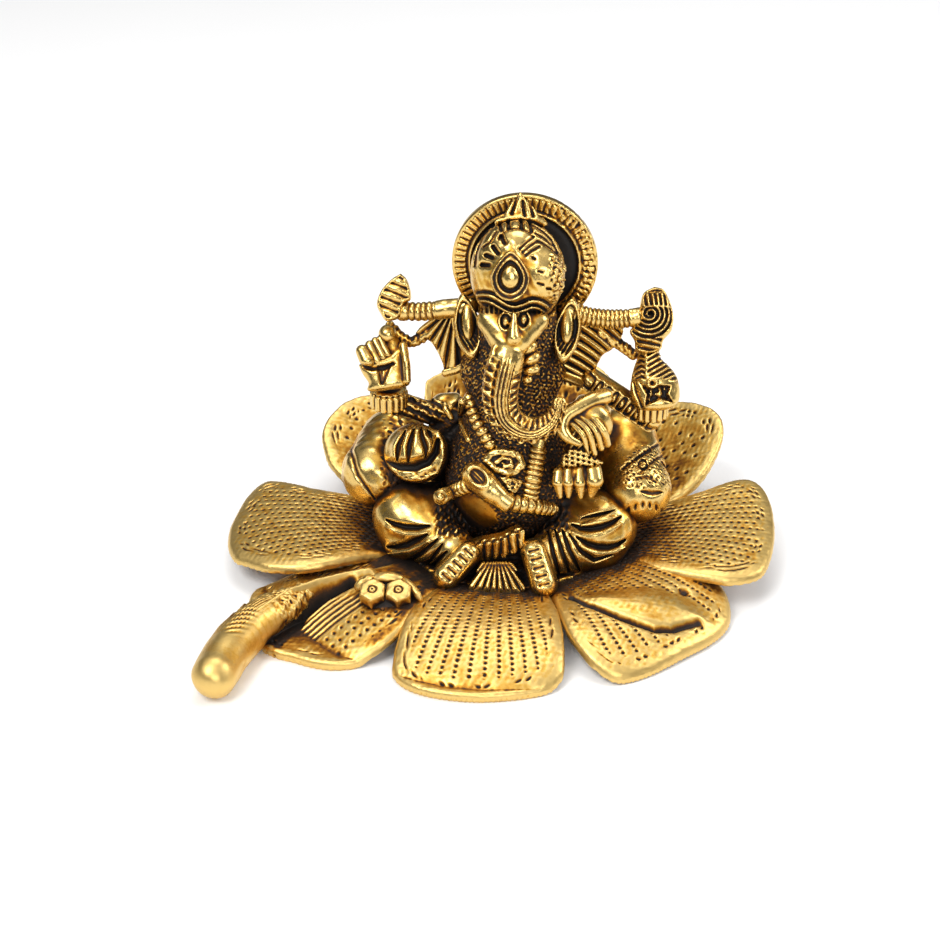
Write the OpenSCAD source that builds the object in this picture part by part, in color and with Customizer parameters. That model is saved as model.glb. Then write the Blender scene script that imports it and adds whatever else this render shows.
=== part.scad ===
// Seated elephant-headed idol on an eight-petal flower, in millimetres.
// +Z is up, the figure faces -Y, and the origin is the centre of the foot, on the table.
// Angles round the flower run from the front (-Y) towards the figure's left hand (+X).

/* [Flower] */
// Radius of the front petals' tips
petal_reach = 55; // [52:0.5:58]
// Thickness of a petal
petal_t = 1.8; // [1.4:0.1:2.2]
// Height that a petal rises over its ends
petal_hump = 3.4; // [2:0.1:4.5]
// Tip height of the two side petals
side_tip_z = 9.5; // [7:0.5:12]
// Tip height of the three back petals
back_tip_z = 20; // [16:0.5:23]
// Radius of the flower's inner opening
hub_r = 12; // [11:0.5:13]
// Radius of the flower's own stem
stem_r = 5.5; // [4.8:0.1:5.7]

/* [Figure] */
// Radius of the belly
belly_r = 13.5; // [12.5:0.1:14]
// Radius of the chest
chest_r = 9.5; // [9:0.1:10]
// Radius of a knee
knee_r = 7.2; // [6.5:0.1:7.6]
// Radius of the halo
halo_r = 15.2; // [14:0.1:16]
// Thickness of the halo at its rim
halo_t = 2.2; // [1.8:0.1:2.6]
// Radius of the crown at its brim
crown_r = 9.8; // [9.4:0.1:10.2]
// Radius of the bolsters
bolster_r = 8.2; // [7:0.1:8.4]
// Length of the bolsters
bolster_l = 21.4; // [18:0.2:23]

/* [Fixing] */
// Radius of the fixing screw's shank
screw_r = 1.5; // [1.2:0.1:1.5]
// Radius of the screw's clearance hole in the flower's plate
screw_hole_r = 1.7; // [1.7:0.1:2]
// How far the screw is behind the foot's centre
screw_y = 8; // [7:0.5:10]
// Length of the screw under its head
screw_l = 9; // [8:0.5:12]

/* [Hidden] */
$fn = 48;
fit = 0.05;             // gap left between parts that meet
plate_z = 1.6;          // underside of the plate over the table
plate_t = 1.8;
petal_z = plate_z + plate_t;
slab_z = petal_z + petal_t;
slab_t = 1.0;
slab_r = 24;
base_z = slab_z + slab_t; // what the figure sits on
flat_r = 23;            // petals lie flat on the plate as far as this
foot_r = 17;
sink_r = 4.2;           // recess for the screw's head
hip_r = 12.5;
head_c = [1.8, -0.5, 64];
halo_c = [2.7, 8.2, 65.6];
belly_c = [0.4, -3, 20.5];
chest_c = [1, 0, 40];
shoulder_x = 1.9;       // middle of the shoulders
screw_head_z = 0.2;     // underside of the screw's head over the table
screw_head_t = 0.9;
washer_t = 0.4;
far = 200;              // larger than anything here

// name, start angle, end angle, tip radius, tip height, hump, twist, skew of the tip
PETALS = [
    ["front", -23, 21, petal_reach, petal_t / 2, petal_hump, 0, -1],
    ["front_left", 22, 65, petal_reach + 1.5, petal_t / 2, petal_hump, 0.5, 1],
    ["left", 66, 106, petal_reach + 4, side_tip_z, petal_hump, 3, 0],
    ["back_left", 107, 154, petal_reach - 2, back_tip_z - 1, petal_hump / 2, 2, 0],
    ["back", 155, 203, petal_reach - 8, back_tip_z + 2, petal_hump / 3, 0, 0],
    ["back_right", 204, 252, petal_reach - 3, back_tip_z - 2, petal_hump / 2, -2, 0],
    ["right", 253, 296, petal_reach + 5, side_tip_z - 3, petal_hump, -1, 0],
    ["front_right", 297, 336, petal_reach, petal_t / 2, petal_hump + 1, 0, -2],
];

// ---------- helpers ----------

// Turns +Z to lie along a direction.
module aim(d) rotate([0, acos(d.z / norm(d)), atan2(d.y, d.x)]) children();

// Outline of a rod with round ends, r1 at 0 and r2 at len, for turning about Z.
function rod_outline(r1, r2, len, n = 6) =
    let (a = asin((r1 - r2) / len))
    concat(
        [for (i = [0:n]) let (t = -90 + (90 + a) * i / n) [r1 * cos(t), r1 * sin(t)]],
        [for (i = [0:n]) let (t = a + (90 - a) * i / n) [r2 * cos(t), len + r2 * sin(t)]]);

module rod(p, q, r1, r2)
    translate(p) aim(q - p) rotate_extrude() polygon(rod_outline(r1, r2, norm(q - p)));

// Outline of half an ellipse, for turning about Z.
function egg_outline(r, h, n = 12) =
    [for (i = [0:n]) let (t = -90 + 180 * i / n) [r * cos(t), h * sin(t)]];

module egg(c, r, h, d = [0, 0, 1])
    translate(c) aim(d) rotate_extrude() polygon(egg_outline(r, h));

// A disc with a rounded edge, thickness t, standing across direction d.
module pad(c, r, t, d)
    translate(c) aim(d) rotate_extrude()
        polygon([[0, -t / 2], [r - t / 2, -t / 2],
                 for (i = [1:5]) [r - t / 2 + t / 2 * sin(30 * i), -t / 2 * cos(30 * i)],
                 [r - t / 2, t / 2], [0, t / 2]]);

module above(z) translate([-far / 2, -far / 2, z]) cube(far);

// ---------- swept tubes ----------

function heading(path, i) =
    let (n = len(path) - 1, d = path[min(i + 1, n)] - path[max(i - 1, 0)]) d / norm(d);
// A ring of points round path[i], kept level by a fixed side vector.
function ring(path, radii, i, sides, up) =
    let (h = heading(path, i), s0 = cross(up, h), s = s0 / norm(s0), w = cross(h, s))
    [for (k = [0:sides - 1]) let (a = 360 * k / sides)
        path[i] + radii[i] * (cos(a) * s + sin(a) * w)];

module tube(path, radii, sides = 12, up = [0, 1, 0]) {
    n = len(path);
    points = concat([for (i = [0:n - 1]) each ring(path, radii, i, sides, up)],
                    [path[0], path[n - 1]]);
    walls = [for (i = [0:n - 2], k = [0:sides - 1]) let (j = (k + 1) % sides)
        [i * sides + k, (i + 1) * sides + k, (i + 1) * sides + j, i * sides + j]];
    first = [for (k = [0:sides - 1]) [n * sides, k, (k + 1) % sides]];
    last = [for (k = [0:sides - 1])
        [n * sides + 1, (n - 1) * sides + (k + 1) % sides, (n - 1) * sides + k]];
    triangles = [for (w = walls) each [[w[0], w[1], w[2]], [w[0], w[2], w[3]]]];
    polyhedron(points, concat(triangles, first, last));
}

// ---------- flower ----------

// Mid-surface of a petal: u runs from the hub to the tip, v from side to side.
function petal_radius(p, u, v) =
    hub_r + ((p[3] + p[7] * v) * (1 - 0.07 * pow(abs(v), 4)) - hub_r) * u;
function petal_angle(p, u, v) =
    (p[1] + p[2]) / 2 + v * (p[2] - p[1]) / 2 * (1 - 0.08 * pow(u, 6));
function petal_height(p, r, v) =
    let (s = max(0, (r - flat_r) / (p[3] - flat_r)), mid = petal_z + petal_t / 2)
    mid + 4 * p[5] * s * (1 - s) + (p[4] - mid) * s * s + p[6] * v * s * s
        + (p[4] > side_tip_z ? 1.5 : 0) * v * v * s;
function petal_point(p, u, v, side) =
    let (r = petal_radius(p, u, v), a = petal_angle(p, u, v))
    [r * sin(a), -r * cos(a), max(petal_height(p, r, v), petal_t / 2) + side * petal_t / 2];

module petal(index) {
    p = PETALS[index];
    nu = 14;
    nv = 8;
    row = nv + 1;
    layer = (nu + 1) * row;
    points = [for (side = [1, -1], i = [0:nu], j = [0:nv])
        petal_point(p, i / nu, 2 * j / nv - 1, side)];
    top = [for (i = [0:nu - 1], j = [0:nv - 1]) let (a = i * row + j)
        each [[a, a + 1, a + row + 1], [a, a + row + 1, a + row]]];
    under = [for (f = top) [for (k = [2, 1, 0]) f[k] + layer]];
    edge = concat([for (j = [0:nv]) j],
                  [for (i = [1:nu]) i * row + nv],
                  [for (j = [nv - 1:-1:0]) nu * row + j],
                  [for (i = [nu - 1:-1:1]) i * row]);
    rim = [for (k = [0:len(edge) - 1]) let (a = edge[k], b = edge[(k + 1) % len(edge)])
        each [[a, a + layer, b + layer], [a, b + layer, b]]];
    color("goldenrod") polyhedron(points, concat(top, under, rim));
}

// The round plate that the petals are brazed to, with the foot it stands on.
module flower_plate() color("darkgoldenrod") difference() {
    union() {
        cylinder(h = petal_z, r = foot_r);
        translate([0, 0, plate_z]) cylinder(h = plate_t, r = flat_r);
    }
    translate([0, screw_y, -1]) cylinder(h = far, r = screw_hole_r);
    translate([0, screw_y, -1]) cylinder(h = 1 + plate_z, r = sink_r);
}

// The flower's cut stem, rolled like a leaf, lying out to the front right.
STEM = [[-35, -33, 4.8], [-38.5, -36.5, 5.8], [-42.2, -41, 6.1], [-46, -46.5, 5.9], [-49.2, -52, 5.7],
        [-51.6, -57, 5.5], [-52.8, -59.8, 5.5], [-53.5, -61.4, 5.5]];
STEM_R = [for (k = [0.5, 0.75, 0.95, 1, 1, 0.93, 0.72, 0.4]) k * stem_r];
module flower_stem() color("goldenrod") intersection() {
    difference() {
        tube(STEM, STEM_R, 12, [0, 0, 1]);
        stem_seat();
    }
    above(0);
}
// Room for the front right petal, which lies over the stem's inner end.
module stem_seat() translate([0, 0, -1]) cylinder(h = 9, r = 47.5);

// A small cast blossom of two rosettes under three leaves, at the root of a petal.
module blossom() color("gold") {
    for (c = [[-25.9, -32, 8], [-20.4, -33, 7.2]]) pad(c, 3, 2, [0, -0.5, 1]);
    for (c = [[-27.6, -28, 8.6], [-22.6, -28, 9], [-18, -29.8, 8.2]]) pad(c, 2.6, 2, [0, -0.3, 1]);
}

// ---------- figure: base and body ----------

// The figure's own floor, with a boss that drops into the flower's inner opening.
module figure_slab() color("saddlebrown") difference() {
    union() {
        translate([0, 0, slab_z]) cylinder(h = slab_t, r = slab_r);
        translate([0, 0, petal_z]) cylinder(h = petal_t + slab_t, r = hub_r - 0.4);
    }
    translate([0, screw_y, petal_z - 1]) cylinder(h = far, r = screw_r);
}

// Belly, chest and the hips that the figure sits on.
module torso_shape() {
    rod(belly_c, chest_c, belly_r, chest_r);
    translate([0, 0, base_z]) cylinder(h = belly_c.z - base_z, r1 = hip_r - 1, r2 = hip_r);
}
module torso() color("goldenrod") difference() {
    torso_shape();
    translate([0, screw_y, base_z - 1]) cylinder(h = 5, r = screw_r);
}

// A folded leg: hip, knee and ankle under one skin of cloth.
module leg_shape(side) hull() {
    translate([side * 8, -4, 12.5]) sphere(6.4, $fn = 28);
    translate([side * 20.6, -7, 12.6]) sphere(knee_r, $fn = 32);
    translate([side * 9.6, -17.6, 10.2]) sphere(4, $fn = 24);
}
module leg(side) color("gold") difference() {
    intersection() {
        leg_shape(side);
        above(base_z);
    }
    torso_shape();
    feet_and_pleats_room();
}
module feet_and_pleats_room() translate([-5.2, -30, 0]) cube([10.4, 14, 30]);
module leg_right() leg(-1);
module leg_left() leg(1);

module foot(p, q) color("gold") difference() {
    intersection() {
        rod(p, q, 2.6, 2.9);
        above(base_z);
    }
    for (side = [-1, 1]) leg_shape(side);
}
module foot_right() foot([-6.8, -21.6, 14], [-11, -23.4, 8.9]);
module foot_left() foot([6.6, -22.4, 14.2], [9.9, -24.4, 9]);

module dhoti_pleats() color("gold") intersection() {
    union() for (i = [0:6]) let (x = -5.2 + 1.6 * i)
        rod([0.2 + 0.45 * x, -17.6, 11.6], [x, -22.8, 7], 0.75, 0.95);
    above(base_z);
}

module waist_belt() color("gold") difference() {
    tube([[-9, -16.6, 10], [-5, -18.9, 11.4], [0, -19.9, 12.4], [5, -19.4, 13.8], [9, -17.4, 15.4]],
         [1.2, 1.5, 1.6, 1.5, 1.2], 10, [0, 0, 1]);
    torso_shape();
}

SNAKE = [[-13.6, -12.4, 20.2], [-10.4, -15.8, 21.4], [-7, -18, 23], [-3.8, -19.2, 24.6],
         [-0.4, -19.1, 23.9], [3.4, -18.2, 22], [7.4, -16.8, 20.6], [11.4, -14.4, 19.8]];
module snake_belt() color("gold") difference() {
    union() {
        tube(SNAKE, [1.4, 1.6, 1.8, 2.3, 2.1, 1.8, 1.6, 1.3], 10, [0, 0, 1]);
        egg([-3.9, -18.6, 27.4], 3.6, 5, [0.35, -0.1, 1]);
    }
    torso_shape();
}

GARLAND = [[-10, -5.6, 43.6], [-8.4, -9.6, 38], [-6, -13, 32.4], [-3, -15.4, 28.6], [1.4, -16.4, 26.6],
           [5, -15.8, 27.2], [7, -13.6, 31], [8.2, -10.4, 36.6], [8.6, -7.6, 41.4]];
module garland() color("gold") difference() {
    tube(GARLAND, [for (p = GARLAND) 1.5], 10, [1, 0, 0.1]);
    torso_shape();
}
module pendant() color("gold") difference() {
    egg([1.4, -14.8, 30.4], 3.4, 2.6, [0, -1, 0.2]);
    torso_shape();
}

// A bolster's outer end, and the way it lies from there.
function bolster_end(side) = [side * 29.4, -6.4, side > 0 ? 20.4 : 19.2];
function bolster_way(side) = [-side * 0.26, 1, 0.02];
module bolster(side) color("goldenrod") difference() {
    translate(bolster_end(side)) aim(bolster_way(side)) rotate_extrude()
        polygon([[0, 0], [bolster_r - 2.4, 0], [bolster_r - 0.8, 0.7], [bolster_r, 2.4],
                 [bolster_r, bolster_l - 2.4], [bolster_r - 0.8, bolster_l - 0.8],
                 [bolster_r - 2.4, bolster_l], [0, bolster_l]]);
    leg_shape(side);
    torso_shape();
    if (side < 0) knee_hand_shape();
}
module bolster_right() bolster(-1);
module bolster_left() bolster(1);

// ---------- figure: head ----------

module head_shape() {
    egg(head_c + [0, 0, 0.5], 8.6, 10.5, [0, 0.12, 1]);
    rod(head_c + [-0.1, -5, -3.6], head_c + [-0.6, -8.6, -7.2], 4.6, 3.6);
}
module head() color("gold") difference() {
    head_shape();
    torso_shape();
    trunk_shape();
}

TRUNK = [[1.3, -10.4, 56.6], [0.6, -13.2, 54.2], [-0.2, -14.8, 50.6], [-0.5, -15.9, 46.8], [0.4, -16.7, 43.2],
         [3, -17.1, 40.7], [6.4, -17, 39.9], [9.4, -16.4, 41.2], [11, -15.8, 43.4], [11.4, -15.4, 45.2]];
module trunk_shape()
    tube(TRUNK, [3.9, 4, 3.9, 3.8, 3.5, 3.1, 2.7, 2.3, 1.9, 1.3], 12, [0, 1, 0.01]);
module trunk() color("gold") difference() {
    trunk_shape();
    torso_shape();
}

module tusk_left() color("gold") difference() {
    tube([[6.4, -8.4, 55.4], [8, -11, 53.4], [9.4, -12.6, 51], [10, -13.2, 48.8]],
         [1.6, 1.4, 1.1, 0.6], 10);
    head_shape();
    torso_shape();
}

module ear(side) color("gold") difference() {
    hull() {
        rod(head_c + [side * 9.6, 1.5, -4], head_c + [side * 11.6, 1, -8], 1.1, 1.1);
        rod(head_c + [side * 8.8, 0, -11], head_c + [side * 9, -1.5, -15.4], 1.1, 0.9);
    }
    head_shape();
    torso_shape();
}
module ear_right() ear(-1);
module ear_left() ear(1);

module crown_dome() egg(head_c + [0, 0, 3.4], crown_r, 11.4, [0, 0.12, 1]);
module crown() color("gold") difference() {
    intersection() {
        crown_dome();
        translate(head_c + [-far / 2, -far / 2, -1.6]) rotate([-8, 0, 0]) cube(far);
    }
    head_shape();
    translate(halo_c + [0, -halo_t / 2 - fit, 0]) rotate([-90, 0, 0]) cylinder(h = far, r = far);
}

module crown_finial() color("gold") difference() {
    hull() {
        translate([-3.4, 3.4, 76.6]) sphere(1.2, $fn = 20);
        translate([8.2, 3.4, 76.6]) sphere(1.2, $fn = 20);
        translate([2.3, 5.2, 81.3]) sphere(0.8, $fn = 20);
    }
    crown_dome();
}

module forehead_gem() color("gold") difference() {
    union() {
        pad([0.9, -9.4, 69.4], 3.6, 2.4, [0, -1, 0.22]);
        rod([0.9, -9.2, 71], [0.9, -8.1, 74.4], 1.9, 0.7);
    }
    crown_dome();
    head_shape();
}

// A disc standing behind the crown, dished in front, with a tab down to the shoulders.
module halo_tab() translate(halo_c + [-3, -1.2, -26]) cube([6, 2, 14]);
module halo_room() translate(halo_c) rotate([90, 0, 0]) cylinder(h = halo_t, r = halo_r, center = true);
module halo() color("goldenrod") difference() {
    union() {
        translate(halo_c + [0, halo_t / 2, 0]) rotate([90, 0, 0]) rotate_extrude()
            polygon([[0, 0], [halo_r - 0.6, 0], [halo_r, 0.6],
                     [halo_r, halo_t - 0.5], [halo_r - 0.5, halo_t],
                     [halo_r * 0.78, halo_t], [halo_r * 0.74, halo_t - 0.9], [0, halo_t - 0.9]]);
        halo_tab();
    }
    torso_shape();
    head_shape();
}

// ---------- figure: arms ----------

module shawl(side) color("goldenrod") difference() {
    hull() {
        rod([shoulder_x + side * 12, 3, 55], [shoulder_x + side * 20.4, 3, 53], 1.2, 1.2);
        rod([shoulder_x + side * 8, 2, 41], [shoulder_x + side * 17, 2, 42], 1.2, 1.2);
    }
    torso_shape();
    head_shape();
    upper_arm_shape(side);
    forearm_shape(side);
    halo_tab();
    halo_room();
}
module shawl_right() shawl(-1);
module shawl_left() shawl(1);

module upper_arm_shape(side) {
    rod([shoulder_x + side * 12.4, 2.4, 57.4], [shoulder_x + side * 20, 2.2, 55.6], 2.3, 2.2);
    rod([shoulder_x + side * 20, 2.2, 55.6], [shoulder_x + side * 24.6, 2, 56.2], 2.2, 2.1);
}
module upper_arm(side) color("gold") difference() {
    upper_arm_shape(side);
    head_shape();
    torso_shape();
    if (side < 0) axe_shape();
    if (side > 0) conch_shape();
    halo_room();
}
module upper_arm_right() upper_arm(-1);
module upper_arm_left() upper_arm(1);

module axe_shape() {
    egg([-24.6, 2, 57.4], 3.4, 3.6, [0, 0, 1]);
    rod([-24, 2, 58.6], [-22.4, 2, 62.4], 3, 1.1);
}
module axe_head() color("gold") axe_shape();

module conch_shape() {
    egg([30, 2, 57], 4, 6, [-0.1, 0, 1]);
    rod([30, 2, 52.4], [29.4, 1, 50], 2.4, 1.8);
}
module conch() color("gold") conch_shape();

module blessing_hand_shape() {
    rod([-24.6, 0.6, 52.4], [-24.9, 0.2, 50.4], 2, 1.9);
    hull() {
        rod([-28.6, -1.4, 46], [-27, -1.2, 41.4], 2.3, 1.9);
        rod([-23.4, -1.2, 47.4], [-23.6, -1.2, 41.4], 2, 1.9);
    }
}
module blessing_hand() color("gold") difference() {
    blessing_hand_shape();
    axe_shape();
    wrist_cuff_shape(-1);
}

module noose_hand_shape() {
    rod([29, 0.4, 49.6], [30.6, -0.8, 45.4], 2.3, 4);
    rod([30.6, -0.8, 45.4], [31.4, -1.2, 42.6], 4, 4);
}
module noose_hand() color("gold") difference() {
    noose_hand_shape();
    conch_shape();
    wrist_cuff_shape(1);
}

module wrist_cuff_shape(side)
    translate(side < 0 ? [-25, 0, 35.6] : [29.6, 0, 36]) aim([side * 0.1, -0.15, 1])
        cylinder(h = 3.8, r = 4);
module wrist_cuff(side) color("gold") difference() {
    wrist_cuff_shape(side);
    forearm_shape(side);
}
module wrist_cuff_right() wrist_cuff(-1);
module wrist_cuff_left() wrist_cuff(1);

// The right forearm lies level; the left one slants down from the shoulder to the wrist.
module forearm_shape(side) {
    if (side < 0) rod([-25, 0, 34.4], [-14, 3, 33], 3, 4);
    if (side > 0) rod([30, -0.4, 34.6], [17.6, 0.8, 42.6], 2.8, 2.8);
}
module forearm(side) color("goldenrod") difference() {
    forearm_shape(side);
    torso_shape();
    translate(bolster_end(side)) aim(bolster_way(side)) cylinder(h = bolster_l, r = bolster_r + fit);
}
module forearm_right() forearm(-1);
module forearm_left() forearm(1);

module knee_hand_shape() {
    egg([-19.6, -8.4, 27.4], 5.6, 6.6, [-0.1, -0.4, 1]);
    rod([-17, -5, 27], [-12.4, -2, 30], 4.6, 4.4);
}
module knee_hand() color("gold") difference() {
    knee_hand_shape();
    torso_shape();
    forearm_shape(-1);
    leg_shape(-1);
}

module sweet_hand_shape() egg([16.4, -12, 26.8], 5.3, 4.6, [0.05, -0.3, 1]);
module sweet_hand() color("gold") difference() {
    sweet_hand_shape();
    torso_shape();
    leg_shape(1);
}
module sweet_cuff_shape() rod([16, -11.8, 31.2], [17, -8.6, 34.6], 4, 3.6);
module sweet_cuff() color("gold") difference() {
    sweet_cuff_shape();
    sweet_hand_shape();
    torso_shape();
    forearm_shape(1);
}

SASH = [[20.6, -2.6, 42.2], [17.6, -6.4, 42.6], [14.6, -9.6, 41.8],
        [12.6, -12, 39.8], [13.4, -13.4, 37.4], [15.4, -13.2, 35.8]];
module sash() color("gold") difference() {
    tube(SASH, [2.2, 2.2, 2.1, 2, 1.6, 0.9], 10, [0, 0, 1]);
    torso_shape();
    trunk_shape();
    sweet_cuff_shape();
    forearm_shape(1);
}

// ---------- fixing ----------

// A slotted screw from under the foot, through the flower's plate, into the figure.
module fixing_screw() color("silver") translate([0, screw_y, screw_head_z]) {
    difference() {
        cylinder(h = screw_head_t, r = 2 * screw_r - 0.2);
        translate([-4, -0.4, -1]) cube([8, 0.8, 1.4]);
    }
    cylinder(h = screw_head_t + screw_l, r = screw_r - fit);
}
module screw_washer() color("silver")
    translate([0, screw_y, screw_head_z + screw_head_t]) difference() {
        cylinder(h = washer_t, r = 3.6);
        translate([0, 0, -1]) cylinder(h = 3, r = screw_r + 0.1);
    }

// ---------- nodes ----------

for (i = [0:len(PETALS) - 1])
    petal(i);
flower_plate();
flower_stem();
blossom();
figure_slab();
bolster_right();
bolster_left();
torso();
leg_right();
leg_left();
foot_right();
foot_left();
dhoti_pleats();
waist_belt();
snake_belt();
garland();
pendant();
head();
trunk();
tusk_left();
ear_right();
ear_left();
shawl_right();
shawl_left();
crown();
crown_finial();
forehead_gem();
halo();
upper_arm_right();
upper_arm_left();
axe_head();
conch();
blessing_hand();
noose_hand();
wrist_cuff_right();
wrist_cuff_left();
forearm_right();
forearm_left();
knee_hand();
sweet_hand();
sweet_cuff();
sash();
fixing_screw();
screw_washer();
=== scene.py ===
"""A small cast idol in antique gold: an elephant-headed figure seated on an eight-petal flower.

Every piece is sculpted as a distance field in millimetres, placed by the CAD node it stands for,
turned into a mesh, and then given the wear that an antique gold finish has: dark in the recesses,
burnished on the high spots. The same colour also carries painted shade on the petals near their
root, on the seat slab and on the right forearm.
"""
import math
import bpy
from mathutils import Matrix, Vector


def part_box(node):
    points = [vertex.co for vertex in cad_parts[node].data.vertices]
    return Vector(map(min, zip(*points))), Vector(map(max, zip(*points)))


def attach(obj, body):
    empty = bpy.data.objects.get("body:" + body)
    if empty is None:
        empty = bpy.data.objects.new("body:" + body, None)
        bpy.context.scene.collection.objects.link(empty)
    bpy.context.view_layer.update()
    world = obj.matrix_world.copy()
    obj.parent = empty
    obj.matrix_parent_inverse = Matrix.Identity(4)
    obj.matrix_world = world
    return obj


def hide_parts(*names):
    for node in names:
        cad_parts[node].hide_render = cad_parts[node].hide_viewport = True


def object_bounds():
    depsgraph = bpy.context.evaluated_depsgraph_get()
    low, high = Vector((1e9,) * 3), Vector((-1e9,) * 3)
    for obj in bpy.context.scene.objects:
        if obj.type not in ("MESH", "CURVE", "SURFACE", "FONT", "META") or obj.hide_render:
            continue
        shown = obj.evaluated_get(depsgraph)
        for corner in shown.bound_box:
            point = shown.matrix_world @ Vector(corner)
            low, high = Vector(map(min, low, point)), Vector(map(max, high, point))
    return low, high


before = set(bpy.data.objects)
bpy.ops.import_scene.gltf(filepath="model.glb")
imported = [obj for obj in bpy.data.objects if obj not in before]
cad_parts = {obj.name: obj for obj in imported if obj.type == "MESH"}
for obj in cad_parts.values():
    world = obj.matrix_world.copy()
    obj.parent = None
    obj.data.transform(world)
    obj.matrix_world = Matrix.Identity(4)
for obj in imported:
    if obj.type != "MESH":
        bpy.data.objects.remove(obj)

from concurrent.futures import ThreadPoolExecutor

import bpy
import numpy as np
from mathutils import Vector

CAD_BOX = [list(corner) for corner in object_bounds()]

MM = 0.001
VOXEL = 0.21
BLOCK = 4                 # voxels along one side of a block
COARSE = 0.5              # voxel of the grid that shade is worked out on
TAU = 2 * math.pi


# ---------- the frame ----------

def box(node):
    """Lowest and highest corner of a CAD node, in millimetres."""
    lo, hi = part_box(node)
    return np.array(lo) / MM, np.array(hi) / MM


def mid(node):
    lo, hi = box(node)
    return (lo + hi) / 2


# ---------- small maths ----------

def unit(v):
    v = np.asarray(v, float)
    return v / np.linalg.norm(v)


def length(v):
    return np.sqrt(np.einsum("ij,ij->i", v, v))


def step(a, b, x):
    """0 below a, 1 above b, smooth between."""
    t = np.clip((x - a) / (b - a), 0, 1)
    return t * t * (3 - 2 * t)


def bell(d, width):
    return np.exp(-(d / width) ** 2)


def beads(x, power=0.6):
    """Rounded ridges with sharp valleys, one for each whole x, from 0 to 1."""
    return np.abs(np.sin(math.pi * x)) ** power


def waves(x):
    """Even ridges, one for each whole x, from 0 to 1."""
    return 0.5 - 0.5 * np.cos(TAU * x)


def grain(p, size, seed, count=9):
    """A smooth random field between about -1 and 1, with lumps of the given size."""
    rng = np.random.default_rng(seed)
    ways = rng.normal(size=(3, count))
    ways *= TAU / size * rng.uniform(0.6, 1.3, count) / np.linalg.norm(ways, axis=0)
    return np.sin(p @ ways.astype(np.float32) + rng.uniform(0, TAU, count)).sum(1) / 4


def curve(points, count=24):
    """A smooth curve through the points."""
    pts = np.array(points, float)
    pts = np.vstack([2 * pts[0] - pts[1], pts, 2 * pts[-1] - pts[-2]])
    out = []
    for t in np.linspace(0, len(points) - 1, count):
        i = min(int(t), len(points) - 2)
        u = t - i
        a, b, c, d = pts[i : i + 4]
        out.append(0.5 * (2 * b + (c - a) * u + (2 * a - 5 * b + 4 * c - d) * u**2
                          + (3 * b - a - 3 * c + d) * u**3))
    return np.array(out)


# ---------- distance fields ----------

def join(a, b, k=0.3):
    h = np.clip(0.5 + 0.5 * (b - a) / k, 0, 1)
    return b + (a - b) * h - k * h * (1 - h)


def both(a, b, k=0.3):
    return -join(-a, -b, k)


def cut(a, b, k=0.3):
    return both(a, -b, k)


def egg(p, c, radii, axes=None):
    """An ellipsoid. axes holds its own three directions, one a row."""
    q = p - c
    if axes is not None:
        q = q @ np.asarray(axes, float).T
    radii = np.asarray(radii, float)
    near = length(q / radii)
    return near * (near - 1) / np.maximum(length(q / radii**2), 1e-6)


def rod(p, a, b, ra, rb=None):
    """A rod with round ends. Works in the plane as well as in space."""
    a, b = np.asarray(a, float), np.asarray(b, float)
    rb = ra if rb is None else rb
    way = b - a
    t = np.clip((p - a) @ way / (way @ way), 0, 1)
    return length(p - a - t[:, None] * way) - (ra + (rb - ra) * t)


def strand(p, path, radius):
    d = np.full(len(p), 1e9)
    for a, b in zip(path[:-1], path[1:]):
        d = np.minimum(d, rod(p, a, b, radius))
    return d


def along(p, path, front=(0, -1, 0)):
    """The nearest place on a path: distance, length run, offset sideways, offset to the front."""
    near = np.full(len(p), 1e18)
    run, side, ahead = (np.zeros(len(p)) for _ in range(3))
    before = 0.0
    for a, b in zip(path[:-1], path[1:]):
        way = b - a
        size = np.linalg.norm(way)
        across = unit(np.cross(front, way))
        out = unit(np.cross(way, across))
        t = np.clip((p - a) @ way / size**2, 0, 1)
        off = p - a - t[:, None] * way
        d = np.einsum("ij,ij->i", off, off)
        closer = d < near
        near = np.where(closer, d, near)
        run = np.where(closer, before + t * size, run)
        side = np.where(closer, off @ across, side)
        ahead = np.where(closer, off @ out, ahead)
        before += size
    return np.sqrt(near), run, side, ahead


def spread(run, path, radii):
    """Radius at a length run along a path, from radii spaced evenly along it."""
    total = np.linalg.norm(np.diff(path, axis=0), axis=1).sum()
    return np.interp(run, np.linspace(0, total, len(radii)), radii)


def stroke(x, z, points, width):
    """A drawn line in the plane, 1 along it and 0 away from it."""
    p = np.stack([x, z], 1)
    d = np.full(len(p), 1e9)
    for a, b in zip(points[:-1], points[1:]):
        d = np.minimum(d, rod(p, a, b, 0))
    return bell(d, width)


# ---------- from field to mesh ----------

CORNERS = np.array([[i, j, k] for i in (0, 1) for j in (0, 1) for k in (0, 1)])
EDGES = [(a, b) for a in range(8) for b in range(a + 1, 8) if np.abs(CORNERS[a] - CORNERS[b]).sum() == 1]


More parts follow.
